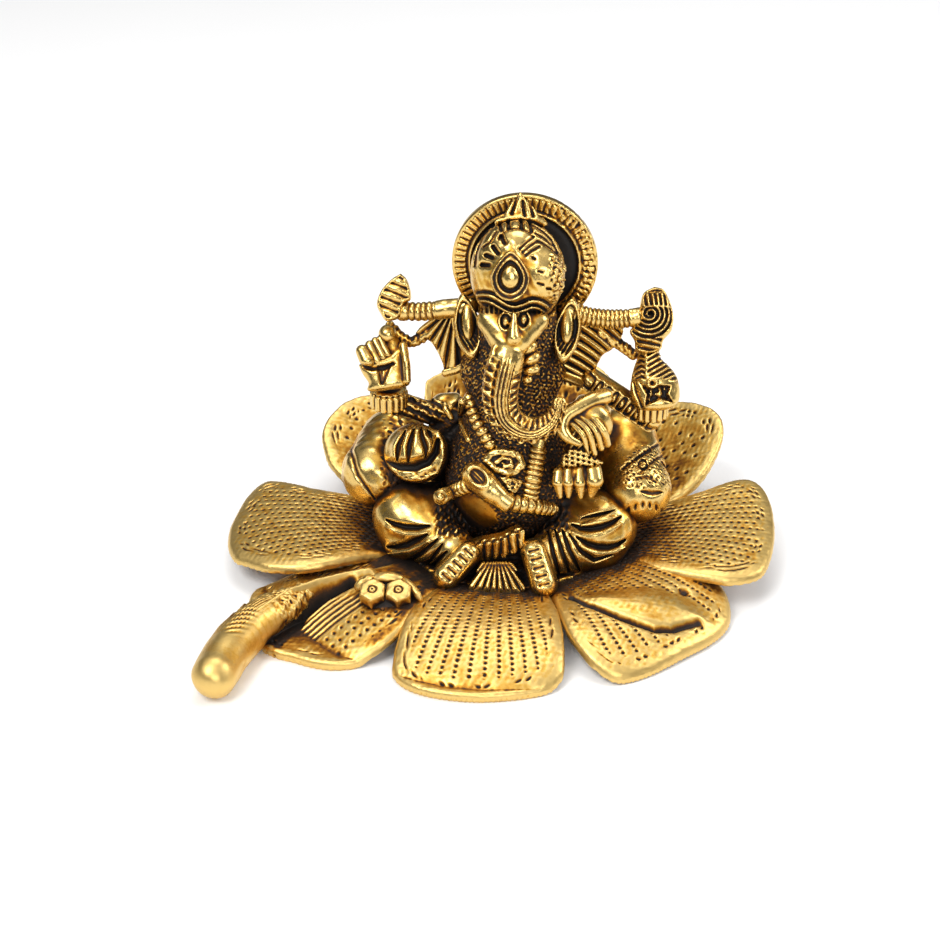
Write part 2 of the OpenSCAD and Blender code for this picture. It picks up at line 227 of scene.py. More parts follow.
def sample(field, lo, hi, voxel):
    """The field on a regular grid, worked out only in blocks near the surface."""
    size = voxel * BLOCK
    blocks = np.ceil((hi - lo) / size).astype(int)
    axes = [lo[i] + size * (np.arange(blocks[i]) + 0.5) for i in range(3)]
    centres = np.stack(np.meshgrid(*axes, indexing="ij"), -1).reshape(-1, 3).astype(np.float32)
    rough = field(centres).reshape(blocks)
    kept = np.abs(rough) < size * 1.1 + 0.75
    values = np.where(rough < 0, -9, 9).astype(np.float32)
    keep = kept
    for axis in range(3):
        values = values.repeat(BLOCK, axis)
        keep = keep.repeat(BLOCK, axis)
    values = np.pad(values, (0, 1), mode="edge")
    keep = np.pad(keep, (0, 1))
    for axis in range(3):
        keep |= np.roll(keep, 1, axis)
    where = np.argwhere(keep)
    points = (lo + where * voxel).astype(np.float32)
    found = np.concatenate([field(part) for part in np.array_split(points, len(points) // 200000 + 1)])
    values[tuple(where.T)] = found
    # Nothing reaches the grid's own walls.
    for axis in range(3):
        for end in (0, -1):
            wall = [slice(None)] * 3
            wall[axis] = end
            values[tuple(wall)] = np.maximum(values[tuple(wall)], 0.01)
    return values


def surface(values, lo, voxel):
    """Surface nets: one vertex in each cell that the surface crosses, one quad for each crossing."""
    inside = values < 0
    count = sum(inside[i : inside.shape[0] - 1 + i, j : inside.shape[1] - 1 + j,
                       k : inside.shape[2] - 1 + k].astype(np.int8) for i, j, k in CORNERS)
    active = (count > 0) & (count < 8)
    cells = np.argwhere(active)
    number = np.full(active.shape, -1, np.int64)
    number[active] = np.arange(len(cells))
    at = [values[tuple((cells + c).T)] for c in CORNERS]
    total = np.zeros((len(cells), 3))
    hits = np.zeros(len(cells))
    for a, b in EDGES:
        cross = (at[a] < 0) != (at[b] < 0)
        t = np.where(cross, at[a] / np.where(cross, at[a] - at[b], 1), 0)
        spot = CORNERS[a] + t[:, None] * (CORNERS[b] - CORNERS[a])
        total += spot * cross[:, None]
        hits += cross
    verts = lo + (cells + total / hits[:, None]) * voxel
    quads = []
    for axis in range(3):
        u, v = np.eye(3, dtype=int)[(axis + 1) % 3], np.eye(3, dtype=int)[(axis + 2) % 3]
        first = np.take(inside, range(inside.shape[axis] - 1), axis)
        second = np.take(inside, range(1, inside.shape[axis]), axis)
        e = np.argwhere(first != second)
        e = e[((e @ u) > 0) & ((e @ v) > 0) & ((e @ u) < inside.shape[(axis + 1) % 3] - 1)
              & ((e @ v) < inside.shape[(axis + 2) % 3] - 1)]
        ring = np.stack([number[tuple((e - o).T)] for o in (0 * u, u, u + v, v)], 1)
        outward = first[tuple(e.T)]
        quads.append(np.where(outward[:, None], ring, ring[:, ::-1]))
    return verts, np.concatenate(quads)


def settle(field, verts, voxel):
    """Moves the vertices onto the field's surface."""
    for _ in range(2):
        points = verts.astype(np.float32)
        value = field(points)
        slope = np.stack([field(points + e) - field(points - e)
                          for e in (np.eye(3) * voxel * 0.5).astype(np.float32)], 1) / voxel
        size = np.maximum(np.einsum("ij,ij->i", slope, slope), 0.2)
        move = np.clip(value / size, -0.4 * voxel, 0.4 * voxel)
        verts = verts - move[:, None] * slope
    return verts


def neighbours(quads):
    a = quads.ravel()
    b = np.roll(quads, -1, axis=1).ravel()
    pairs = np.unique(np.stack([np.minimum(a, b), np.maximum(a, b)], 1), axis=0)
    return np.concatenate([pairs, pairs[:, ::-1]])


def drop_crumbs(verts, quads, least=400):
    """Leaves out loose bits smaller than so many vertices."""
    pairs = neighbours(quads)
    label = np.arange(len(verts))
    while True:
        new = label.copy()
        np.minimum.at(new, pairs[:, 0], label[pairs[:, 1]])
        new = new[new]
        if (new == label).all():
            break
        label = new
    keep = np.bincount(label, minlength=len(verts))[label] >= least
    index = np.cumsum(keep) - 1
    return verts[keep], index[quads[keep[quads].all(1)]]


def normals(verts, quads):
    a, b, c, d = (verts[quads[:, i]] for i in range(4))
    face = np.cross(c - a, d - b)
    out = np.stack([np.bincount(quads.ravel(), np.repeat(face[:, i], 4), len(verts)) for i in range(3)], 1)
    return out / np.maximum(length(out), 1e-12)[:, None]


def smoothed(verts, pairs, times):
    a, b = pairs.T
    degree = np.maximum(np.bincount(a, minlength=len(verts)), 1)
    for _ in range(times):
        verts = np.stack([np.bincount(a, verts[b, i], len(verts)) / degree for i in range(3)], 1)
    return verts


class Shade:
    """How much metal stands round a point, from a coarse grid of the whole object."""

    def __init__(self, lo, hi):
        self.lo = lo - 8
        self.grid = np.zeros(np.ceil((hi + 8 - self.lo) / COARSE).astype(int) + 1, np.float32)

    def add(self, values, lo, voxel):
        where = (np.argwhere(values < 0) * voxel + lo - self.lo) / COARSE
        where = np.clip(np.round(where).astype(int), 0, np.array(self.grid.shape) - 1)
        flat = np.ravel_multi_index(tuple(where.T), self.grid.shape)
        share = (voxel / COARSE) ** 3
        self.grid += share * np.bincount(flat, minlength=self.grid.size).reshape(self.grid.shape)

    def blurred(self, reach):
        out = np.minimum(self.grid, 1)
        half = max(1, round(reach / COARSE))
        for axis in (0, 1, 2) * 3:
            total = np.cumsum(np.pad(out, [(half + 1, half) if i == axis else (0, 0) for i in range(3)]),
                              axis)
            top = np.take(total, range(2 * half + 1, total.shape[axis]), axis)
            low = np.take(total, range(total.shape[axis] - 2 * half - 1), axis)
            out = (top - low) / (2 * half + 1)
        return out

    def read(self, grid, points):
        x = np.clip((points - self.lo) / COARSE, 0, np.array(grid.shape) - 1.001)
        i = x.astype(int)
        t = x - i
        out = 0
        for c in CORNERS:
            weight = np.prod(np.where(c, t, 1 - t), axis=1)
            out = out + weight * grid[tuple((i + c).T)]
        return out


# ---------- drawing on a piece ----------

AZIMUTH, ELEVATION = math.radians(5), math.radians(30)
RIGHT = np.array([math.cos(AZIMUTH), math.sin(AZIMUTH), 0])
UP = np.array([-math.sin(AZIMUTH) * math.sin(ELEVATION), math.cos(AZIMUTH) * math.sin(ELEVATION),
               math.cos(ELEVATION)])
NEAR = np.cross(RIGHT, UP)


def face_on(p, o):
    """Right, up and near offsets from o, as the carver sees the piece from in front and above."""
    q = p - o
    return q @ RIGHT, q @ UP, q @ NEAR


def outline(u, v, points):
    """Signed distance to a closed shape in the plane, less than 0 inside."""
    pts = np.asarray(points, float)
    d = np.full(len(u), 1e9)
    inside = np.zeros(len(u), bool)
    for (ax, ay), (bx, by) in zip(pts, np.roll(pts, -1, axis=0)):
        ex, ey = bx - ax, by - ay
        t = np.clip(((u - ax) * ex + (v - ay) * ey) / (ex * ex + ey * ey), 0, 1)
        d = np.minimum(d, np.hypot(u - ax - t * ex, v - ay - t * ey))
        if ey:
            inside ^= ((ay > v) != (by > v)) & (u < ax + (v - ay) * ex / ey)
    return np.where(inside, -d, d)


def smooth_shape(points, count=60):
    """The points of a closed shape, rounded off."""
    loop = list(points) + [points[0]]
    return curve([(x, y, 0) for x, y in loop], count)[:-1, :2]


class Plan:
    """Signed distance to a closed shape, seen from above and looked up from a grid."""

    def __init__(self, points, pitch=0.3, reach=5):
        pts = np.asarray(points, float)
        self.lo, self.pitch = pts.min(0) - reach, pitch
        axes = [np.arange(self.lo[i], pts[:, i].max() + reach, pitch) for i in (0, 1)]
        x, y = np.meshgrid(*axes, indexing="ij")
        self.grid = outline(x.ravel(), y.ravel(), pts).reshape(x.shape).astype(np.float32)

    def __call__(self, x, y):
        fx = np.clip((x - self.lo[0]) / self.pitch, 0, self.grid.shape[0] - 1.001)
        fy = np.clip((y - self.lo[1]) / self.pitch, 0, self.grid.shape[1] - 1.001)
        i, j = fx.astype(int), fy.astype(int)
        s, t = fx - i, fy - j
        g = self.grid
        return ((g[i, j] * (1 - s) + g[i + 1, j] * s) * (1 - t)
                + (g[i, j + 1] * (1 - s) + g[i + 1, j + 1] * s) * t)


def trace(x, y, points):
    """Distance to a drawn line, and how far along it from 0 to 1."""
    p = np.stack([x, y], 1)
    near, place = np.full(len(p), 1e9), np.zeros(len(p))
    sizes = [math.dist(a, b) for a, b in zip(points[:-1], points[1:])]
    before = 0.0
    for (a, b), size in zip(zip(points[:-1], points[1:]), sizes):
        a, b = np.asarray(a, float), np.asarray(b, float)
        t = np.clip((p - a) @ (b - a) / size**2, 0, 1)
        d = length(p - a - t[:, None] * (b - a))
        place = np.where(d < near, (before + t * size) / sum(sizes), place)
        near = np.minimum(near, d)
        before += size
    return near, place


def lens(x, y, points, width):
    """A cut that is widest half way along and comes to a point at both ends."""
    d, place = trace(x, y, points)
    return bell(d, width * (0.3 + 0.8 * np.sin(math.pi * place)))


def laid(points, o, under, lift, fallback=0.0):
    """A line drawn in front, dropped onto the piece below and raised by lift."""
    depth = np.arange(14, -14, -0.1)
    out = []
    for u, v in points:
        ray = spot(o, u, v, 0) + depth[:, None] * NEAR
        hit = under(ray.astype(np.float32)) < 0
        out.append(spot(o, u, v, (depth[hit.argmax()] if hit.any() else fallback) + lift))
    return out


def spot(o, u, v, w):
    return o + u * RIGHT + v * UP + w * NEAR


SCULPTS = []


def sculpt(slot, *nodes, margin=1.2):
    """Registers a function that makes the field of a piece, which stands for these nodes."""
    def keep(make):
        SCULPTS.append((nodes, slot, margin, make))
        return make
    return keep


# ---------- flower ----------

FLAT_R = 23
PETAL_Z = box("petal_left")[0][2]
PETAL_T = 1.9


def petal_field(way, reach, tip, hump, twist, style, shape, extra=None):
    a = math.radians(way)
    root = [(11 * math.sin(b), -11 * math.cos(b)) for b in (a + 0.42, a - 0.42)]
    plan = Plan(np.vstack([curve([(*q, 0) for q in shape], 60)[:, :2], root]))
    mid_z = PETAL_Z + PETAL_T / 2
    pitch, gap, size, depth = {"front": (0.053, 1.15, 0.31, 0.45), "side": (0.036, 1.6, 0.30, 0.40),
                               "back": (0.062, 2.3, 0.36, 0.45)}[style]

    def top(x, y):
        """Height of the middle layer, distance to the edge, slope, radius, where dots may go, and dirt."""
        along_it = x * math.sin(a) - y * math.cos(a)
        r = np.hypot(x, y)
        v = np.clip((x * math.cos(a) + y * math.sin(a)) / np.maximum(0.38 * along_it, 4), -1.3, 1.3)
        s = np.clip((r - FLAT_R) / (reach - FLAT_R), 0, 1.15)
        edge = plan(x, y)
        h = mid_z + 4 * hump * s * (1 - s) + (tip - mid_z) * s * s + twist * v * s * s
        h = h - 0.8 * np.exp(np.minimum(edge, 0) / 1.2)
        clear, dark = np.ones(len(x)), np.zeros(len(x))
        if extra is not None:
            h, clear, dark = extra(x, y, h, edge)
        slope = (4 * hump * (1 - 2 * s) + 2 * (tip - mid_z) * s) / (reach - FLAT_R)
        return np.maximum(h, PETAL_T / 2 + 0.02), edge, 1 / np.sqrt(1 + slope**2), r, clear, dark

    def field(p):
        x, y = p[:, 0], p[:, 1]
        h, edge, lean, r, clear, _ = top(x, y)
        height = (p[:, 2] - h) * lean
        a1 = np.abs(height) - PETAL_T / 2 + 0.8
        b1 = edge + 0.8
        body = np.minimum(np.maximum(a1, b1), 0) + np.hypot(np.maximum(a1, 0), np.maximum(b1, 0)) - 0.8
        body = np.maximum(body, 11 - r)
        relief = 0.06 * grain(p, 5, 3) + 0.03 * grain(p, 1.4, 4)
        # Rows of pricked dots run out from the middle; near the root they run together.
        turn = np.arctan2(x * math.cos(a) + y * math.sin(a), x * math.sin(a) - y * math.cos(a))
        row = turn / pitch + 0.12 * grain(p * (1, 1, 0), 14, 7)
        nearest = np.round(row)
        place = r / gap + 0.5 * np.mod(nearest, 2)
        stretch = 1 if style == "front" else 0.45 + 0.55 * step(34, 44, r)
        off = np.hypot((row - nearest) * pitch * r, (place - np.round(place)) * gap * stretch)
        wide = size * (0.75 + 0.25 * step(30, 40, r))
        inner = step(-3.3, -4.0, edge) * step(18, 22, r) * clear
        present = 1 if style != "back" else step(-0.75, -0.45, np.sin(nearest * 7.1 + np.round(place) * 3.7))
        pits = bell(off, wide) * inner * present
        # More dots follow the rim.
        rim = (np.abs(turn) * 44 + 0.6 * r) / 1.5
        for inset in (2.4,) if style == "front" else (2.6, 3.6):
            rim_off = np.hypot(edge + inset, (rim - np.round(rim)) * 1.1)
            pits = np.maximum(pits, bell(rim_off, 0.28) * step(-0.2, 0.3, np.sin(rim * 1.7 + inset)))
        relief = relief + depth * pits
        # Fine file marks stand on the side walls.
        marks = 0.10 * waves((np.abs(turn) * 50 + 0.3 * r) / 0.9) * step(-1.2, -0.5, edge)
        return body + relief * step(-0.6, 0.2, height) + marks * step(0.4, -0.2, height)

    def grime_and_shade(v):
        h, edge, _, r, _, dark = top(v[:, 0], v[:, 1])
        # Darker towards the root: painted shade where the figure stands over the petal, with patina speckles
        # through it. The underside is darker as well.
        inner = {"front": 1.45 * step(39, 24, r), "side": step(47, 26, r), "back": step(48, 34, r)}[style]
        under = step(-0.2, -1.2, v[:, 2] - h)
        return (dark * (1 - under) + 0.34 * inner * step(0, -3, edge) * (1 + 0.5 * grain(v, 3, 8))
                + (0.14 if extra is None else 0.18) * step(0.2, 1.2, grain(v, 1.6, 9)) * inner
                + 0.25 * under * step(0, -2, edge))
    return field, grime_and_shade


def fold_right(x, y, h, edge):
    """The front right petal: a rolled edge runs up it from the stem, beside a dark trough and drawn lines."""
    d, _ = trace(x, y, [(-49.5, -45), (-46.4, -40.2), (-42.8, -34.2), (-37.2, -29.8), (-31.8, -26.6),
                        (-27, -24.5)])
    low, _ = trace(x, y, [(-43.2, -52), (-43.8, -45.4), (-42.0, -38.9), (-39.3, -34.4), (-35.3, -30.8),
                          (-30.4, -27.7)])
    beside = (x + 38.8) * 0.62 - (y + 35.4) * 0.78
    beyond = step(-2.2, -4.6, beside)
    h = h - np.maximum(h - 4.2, 0) * beyond * step(24, 34, np.hypot(x, y)) * 0.8
    h = h + np.maximum(8.6 - h, 0) * bell(d, 1.5)
    h = h - 2.4 * bell(low, 0.8) * step(0.5, -1, edge)
    drawn = waves(beside / 1.35) * step(-0.9, -0.3, beside) * step(7.6, 5.6, beside) * step(-44, -40,
        y) * step(-30, -33, y)
    runs = np.hypot(np.mod(beside / 2.3, 1) - 0.5, np.mod((x * 0.78 + y * 0.62) / 1.7, 1) - 0.5)
    dots = bell(runs, 0.17) * step(6.8, 7.6, beside) * step(18, 15, beside)
    rough = bell(edge + 1.6, 1.3) * step(-27, -23, x) * step(-47, -44, y)
    return h - (0.42 * drawn + 0.40 * dots) * step(-2.4, -3.2, edge), 0 * x, 0.7 * bell(low,
        0.8) + 0.5 * rough


def fold_left(x, y, h, edge):
    """The front left petal: a smooth swelling with a crack in front of it."""
    y = y + 3.6
    blister = outline(x, y, smooth_shape([(16.5, -26.5), (21.5, -24), (30, -21.8), (38, -22.6), (44, -26.2),
                                          (42, -28.6),
                                          (36, -30.8), (32, -31.4), (28.6, -31), (22, -29)], 30))
    crack, place = trace(x, y, [(15.5, -25.5), (18.6, -27.8), (21.5, -29.2), (25.4, -30.9), (29, -31.9),
                                (32.5, -32.3),
                                (36, -31.3), (41.5, -27.8)])
    h = h + 0.85 * step(1.4, -4.2, blister)
    h = h - 1.7 * bell(crack, 0.7) * np.sin(math.pi * np.clip(place, 0.04, 0.96)) ** 0.4
    scar = bell(np.hypot(x - 38.5, y + 20.2), 1.0)
    return h - 0.9 * scar, step(0.2, 1.6, blister) * step(0.8, 1.6, crack) * (1 - scar), 0.3 * bell(crack,
        0.7)


# name: way, reach, tip height, hump, twist, dots, and the outline from one end of the root to the other
PETALS = {
    "petal_front": (-1, 55, 0.95, 3.4, 0, "front", [
        (-12, -25), (-17.6, -36), (-19.3, -47.6), (-18.3, -51.2), (-15.2, -54), (-10, -55.8), (-2.5, -56.4),
        (5, -55.2), (11.3, -53), (14.2, -50.4), (15, -47), (13.8, -37), (10.5, -25)]),
    "petal_front_left": (43.5, 56.5, 0.95, 3.4, 0.5, "front", [
        (10, -23), (14.4, -38), (18.4, -44.4), (21.9, -47.2), (24.8, -48.2), (27.8, -47.5), (32.3, -44.7),
        (39.1, -38.6), (44.5, -33.1), (47.9, -27.7), (48.4, -23), (46.4, -17.6), (38, -10), (25, -7)]),
    "petal_left": (86, 59, 9.5, 3.4, 3, "side", [
        (23.5, -11.5), (35, -18.2), (44.6, -20.6), (48.5, -20.6), (53.1, -18.6), (55.6, -15.6), (57.4, -9),
        (58.2, -1.4), (57.6, 7.4), (55.8, 12.6), (53, 14.8), (49.2, 14.6), (41, 11), (24, 6)]),
    "petal_back_left": (130.5, 53, 19, 1.7, 2, "back", [
        (22, 3), (34, 8), (41.5, 12.6), (45.8, 19.4), (47.5, 26), (45.6, 31.4), (40, 36), (33.5, 38),
        (27, 35.6),
        (20, 27), (11, 16)]),
    "petal_back": (179, 45, 22, 1.1, 0, "back", [
        (13, 18), (19.5, 30), (22.6, 37.4), (19, 42.4), (10, 45.6), (0, 46.6), (-9.5, 45.4), (-18, 41.4),
        (-22.4, 37),
        (-19, 30), (-13, 18)]),
    "petal_back_right": (228, 52, 18, 1.7, -2, "back", [
        (-11, 16), (-20, 27), (-27, 36), (-33, 37.8), (-38.6, 34.6), (-42.2, 29.8), (-44, 24.4),
        (-43.4, 19.4), (-39, 12.6),
        (-22, 3)]),
    "petal_right": (274.5, 60, 6.5, 3.4, -1, "side", [
        (-23, 6.5), (-36, 7.4), (-43, 8), (-47.4, 9.4), (-53.2, 11.4), (-56.2, 10.8), (-58.7, 5.8),
        (-60.1, -2.8),
        (-60.2, -8.1), (-59.2, -13.4), (-57, -17.8), (-54.2, -19.8), (-47.8, -23), (-38, -22.6), (-23, -13)]),
    "petal_front_right": (316.5, 55, 0.95, 3.3, 0, "front", [
        (-20, -9), (-34, -18), (-44.8, -20.6), (-50.2, -21.4), (-52.2, -24.4), (-52, -29), (-50.5, -36),
        (-48, -42),
        (-43.5, -45.2), (-39.8, -46.4), (-36.5, -47.6), (-32.5, -48.4), (-28.8, -48.0), (-25.6, -46.8),
        (-22.6, -45.0),
        (-19.8, -42.8), (-17.9, -40), (-16.2, -36), (-13.8, -30), (-11, -24)]),
}
FOLDS = {"petal_front_right": fold_right, "petal_front_left": fold_left}
for name, row in PETALS.items():
    spare = 6 if name in ("petal_front_right", "petal_back") else 2.2
    sculpt("flower_gold", name, margin=spare)(lambda name=name, row=row: petal_field(*row,
        extra=FOLDS.get(name)))


@sculpt("flower_gold", "flower_stem", margin=2)
def stem():
    o = mid("flower_stem")
    path = curve(o + [(5.0, 16.0, 0.6), (1.6, 12.4, 0.2), (-1.8, 8.8, -0.2), (-5.0, 3.4, -0.8),
                      (-7.0, -3.2, -1.0),
                      (-8.0, -8.6, -1.2), (-8.3, -11.0, -1.2)], 20)
    radii = [2.2, 3.6, 4.4, 4.7, 4.7, 4.6, 4.5]

    def field(p):
        d, run, side, front = along(p, path, (0, 0, 1))
        body = d - spread(run, path, radii)
        turn = np.arctan2(side, front)
        # A leaf is rolled round the stem: its free edge, its veins, and the rough cut at the root.
        rough = step(12, 4, run) * (0.3 * grain(p, 2.2, 11) + 0.15 * grain(p, 0.9, 12))
        rough = rough + step(-0.2, -0.9, turn) * step(21, 14, run) * (0.3 * grain(p, 1.6, 14) + 0.3)
        veins = 0.16 * waves(turn * 7 + run * 0.12) * step(0.7, 0.2, turn) * step(24, 16, run)
        nicks = 0.5 * beads(run / 1.7 + 0.4 * side, 2) * bell(turn - 0.1, 0.35) * step(12, 15,
            run) * step(24, 21, run)
        body = body + rough + veins + nicks * 0.6 + 0.08 * grain(p, 4, 13)
        return np.maximum(body, 0.05 - p[:, 2])

    def grime_and_shade(v):
        d, run, side, front = along(v, path, (0, 0, 1))
        return 0.7 * step(-0.2, -1.0, np.arctan2(side, front)) * step(24, 16, run)
    return field, grime_and_shade


@sculpt("flower_gold", "blossom", margin=3)
def blossom():
    o = mid("blossom")
    discs = [o + (-2.2, -3.5, 2.6), o + (3.1, -3.0, 2.5)]
    tilt = unit((0, -0.42, 1))
    across = np.array([1.0, 0, 0])
    upward = np.cross(tilt, across)

    def rosette(p, c):
        q = p - c
        u, v, w = q @ across, q @ upward, q @ tilt
        turn = np.arctan2(v, u)
        ring = np.hypot(u, v)
        corner = np.mod(turn + TAU / 12, TAU / 6) - TAU / 12
        flat = ring * np.cos(corner) - 2.5
        top = w - 0.8 + 0.10 * ring + 0.42 * bell(ring - 0.8, 0.22) + 0.42 * bell(ring, 0.26)
        return both(both(flat, top, 0.6), -w - 4, 0.3)

    def leaf(p, c, long, wide, turn):
        axes = np.array([across * math.cos(turn) + upward * math.sin(turn),
                         -across * math.sin(turn) + upward * math.cos(turn), tilt])
        return egg(p, c, (long, wide, 1.7), axes)

    def field(p):
        body = np.minimum(rosette(p, discs[0]), rosette(p, discs[1]))
        body = np.minimum(body, leaf(p, o + (0.3, 1.7, 2.0), 3.5, 1.5, 0.04))
        body = np.minimum(body, leaf(p, o + (-4.4, 0.5, 1.6), 2.4, 1.3, 0.75))
        body = np.minimum(body, leaf(p, o + (5.6, -0.4, 1.2), 3.4, 1.0, -0.85))
        body = join(body, egg(p, o + (0.4, -1.2, -1.6), (5.6, 4.8, 3.0), (across, upward, tilt)), 0.2)
        dot = bell(length((p - (o + (-4.6, 0.4, 3.2))) * (1, 1, 0.4)), 0.4)
        return body + 0.5 * dot + 0.05 * grain(p, 1.3, 15)

    return field, lambda v: 0.5 * step(1.6, 0.4, (v - o) @ tilt - 0.2)


# ---------- seat ----------

@sculpt("figure_gold", "figure_slab", margin=0.6)
def slab():
    lo, hi = box("figure_slab")
    r = (hi[0] - lo[0]) / 2

    def field(p):
        ring = np.hypot(p[:, 0], p[:, 1])
        turn = np.arctan2(p[:, 1], p[:, 0])
        top = p[:, 2] - hi[2] + 0.1
        body = both(both(ring - r + 0.15 * np.cos(turn * 60), top, 0.8), hi[2] - 1.0 - p[:, 2], 0.1)
        boss = both(ring - 11.6, np.maximum(p[:, 2] - hi[2], lo[2] - p[:, 2]), 0.1)
        return np.minimum(body, boss) + 0.22 * np.maximum(grain(p, 1.5, 21), -0.4)
    # Darkened evenly all over: painted shade, for the seat that lies in shade under the figure.
    return field, lambda v: 0.35 + 0 * v[:, 0]


# ---------- body ----------

BASE_Z = box("torso")[0][2]


@sculpt("figure_gold", "torso", margin=9)
def torso():
    lo, hi = box("torso")
    o = mid("torso")
    belly = np.array([o[0], o[1] - 0.9, lo[2] + 14.3])
    chest = np.array([o[0] + 0.6, o[1] + 2, hi[2] - 9.5])

    def field(p):
        u, v, w = face_on(p, belly)
        body = egg(p, belly, (13.2, 13.2, 13.4))
        hips = rod(p, belly + (0, 2, -6), belly + (0, 2, 0), 11.5, 12)
        body = join(body, hips, 2)
        body = join(body, rod(p, belly + (0.2, 1.6, 6), chest, 11.2, 9.3), 3)
        shoulders = rod(p, chest + (-6, 0.6, 4.6), chest + (6, 0.6, 4.6), 5.2)
        body = join(body, shoulders, 2.5)
        body = join(body, rod(p, chest + (0.2, 0.4, 5), chest + (1.0, 0.4, 17), 8.6, 8.2), 2)
        sides = np.minimum(rod(p, (-12.6, 5, 16), (-13, 5, 31), 4.8),
                           rod(p, (13.5, 5, 25), (17.4, 4.6, 32.5), 4.6))
        body = join(body, sides, 2)
        # The smooth belly shows low in front; the rest is hammered and dark.
        smooth = smooth_part(u, v, w)
        rough = 0.26 * np.maximum(grain(p, 0.95, 23), -0.3) + 0.18 * grain(p, 0.6, 24)
        navel = 0.9 * bell(np.hypot(u - 3.4, v + 5.0), 1.2) * step(0, 3, w)
        # Folds of a scarf across the back.
        back = step(0, 5, p[:, 1] - belly[1])
        folds = 0.35 * waves((p[:, 2] + 0.8 * np.abs(p[:, 0])) / 3.4)
        body = body + rough * (1 - smooth) * (1 - back) + navel + back * (folds + 0.05 * grain(p, 2, 25))
        return np.maximum(body, BASE_Z - p[:, 2])

    def smooth_part(u, v, w):
        a, b = 0.87 * (u + 7.2) - 0.5 * (v + 7.2), 0.5 * (u + 7.2) + 0.87 * (v + 7.2)
        return step(1.1, 0.85, np.hypot(a / 5.6, b / 3.2)) * step(0, 3, w)

    def grime_and_shade(v):
        back = step(0, 5, v[:, 1] - belly[1])
        return 0.52 * (1 - smooth_part(*face_on(v, belly))) * (1 - 0.6 * back) * (1 + 0.5 * grain(v, 1.2, 26))
    return field, grime_and_shade


def leg_field(side):
    o = mid("leg_left")
    if side < 0:
        grooves = [([(-9.2, 0.1), (-7.4, -0.8), (-5, -1.4), (-2.4, -1.5), (0, -1.1)], 1.0),
                   ([(-9, -5.7), (-6.8, -5.6), (-4.6, -5.1), (-2.4, -3.9), (-0.4, -2.8)], 1.0)]
        drapes = [[(-9.0, -9.7), (-5.0, -9.0), (-1.6, -6.8), (1.8, -3.8)], [(-6.5, -11.0), (-2.6, -10.2),
            (0.4, -8.3), (2.8, -4.8)],
                  [(-3.1, -11.2), (-0.1, -10.2), (1.8, -8.3), (3.8, -6.3)]]
    else:
        grooves = [([(-1.4, 0.6), (0.4, -0.2), (2.6, -0.3), (4.8, 0.1), (7, 0.9), (9, 2.2)], 1.0),
                   ([(-0.4, -2.0), (1.8, -3.4), (4.0, -4.1), (6.2, -4.2), (8.2, -3.7), (10, -2.7)], 1.05),
                   ([(0.6, 1.9), (3.2, 2.4), (5.4, 2.9), (7.7, 3.6)], 0.5)]
        drapes = [[(-6.4, -0.9), (-5.5, -5.3), (-4.0, -10.2)], [(-5.0, -0.4), (-3.5, -5.3), (-1.6, -10.2)],
                  [(-3.5, -0.4), (-2.0, -4.8), (0.4, -9.2)], [(-2.0, -1.4), (0.4, -4.8), (3.3, -6.8),
                                                              (7.2, -5.8)]]

    def field(p):
        m = p * np.array([side, 1, 1], np.float32)
        hip, knee, ankle = o + (-7.7, 5.9, -0.5), o + (4.9, 2.6, -1.2), o + (-5.8, -7.4, -2.6)
        body = rod(m, hip, knee, 6.4, 7.2)
        body = join(body, rod(m, knee, ankle, 7.0, 4.4), 3)
        body = join(body, rod(m, knee + (0.5, -4.5, -3), ankle, 4.4, 3.4), 2.5)
        u, v, w = face_on(p, o * (side, 1, 1))
        deep = np.zeros(len(p))
        for line, wide in grooves:
            deep = np.maximum(deep, 1.35 * lens(u, v, line, 0.56 * wide))
        for line in drapes:
            deep = np.maximum(deep, 1.1 * lens(u, v, line, 0.46))
        raised = 0.45 * sum(lens(u, v + 1.5, line, 0.8) for line, wide in grooves)
        rough = step(0.6, 2.4, u) * step(-4.5, -2, v) if side < 0 else step(-1.2, -3, u) * step(-2.5, 0, v)
        body = body + (deep - raised) * step(-3, 0, w) + 0.05 * grain(p, 2.5, 31) + 0.3 * rough * grain(p,
            1.2, 32)
        return np.maximum(body, BASE_Z - p[:, 2])

    def grime_and_shade(v):
        u, w, n = face_on(v, o * (side, 1, 1))
        inner = step(0.6, 2.4, u) * step(-4.5, -2, w) if side < 0 else step(-1.2, -3, u) * step(-2.5, 0, w)
        return 0.55 * inner * (1 + 0.5 * grain(v, 1.2, 33)) + 0.25 * step(-9, -12, w)
    return field, grime_and_shade


for side, name in ((-1, "leg_right"), (1, "leg_left")):
    sculpt("figure_gold", name, margin=2)(lambda side=side: leg_field(side))


def foot_field(name, heel, toe):
    o = mid(name)
    a, b = spot(o, *heel, 0), spot(o, *toe, 0.6)
    way = unit(b - a)

    def field(p):
        u, v, w = face_on(p, o)
        body = join(rod(p, a, b, 2.4, 2.7), rod(p, a + (0, 1.4, -1), b + (0, 1.4, -0.8), 2.8, 3.0), 0.6)
        run = (p - a) @ way
        size = np.linalg.norm(b - a)
        # Notches cross the sole, which a raised rim goes round.
        across = np.abs((p - a) @ unit(np.cross(way, NEAR)))
        marks = sum(bell(run - size * (0.0 + 0.26 * k), 0.42) for k in range(5))
        body = body + 0.4 * marks * step(1.6, 0.9, across) * step(0, 1.0, w)
        return np.maximum(body, BASE_Z - 0.1 - p[:, 2])
    return field


sculpt("figure_gold", "foot_right", margin=2.5)(lambda: foot_field("foot_right", (2.6, 1.5), (-1.9, -3.4)))
sculpt("figure_gold", "foot_left", margin=2.5)(lambda: foot_field("foot_left", (-1.1, 3.1), (0.9, -3.7)))


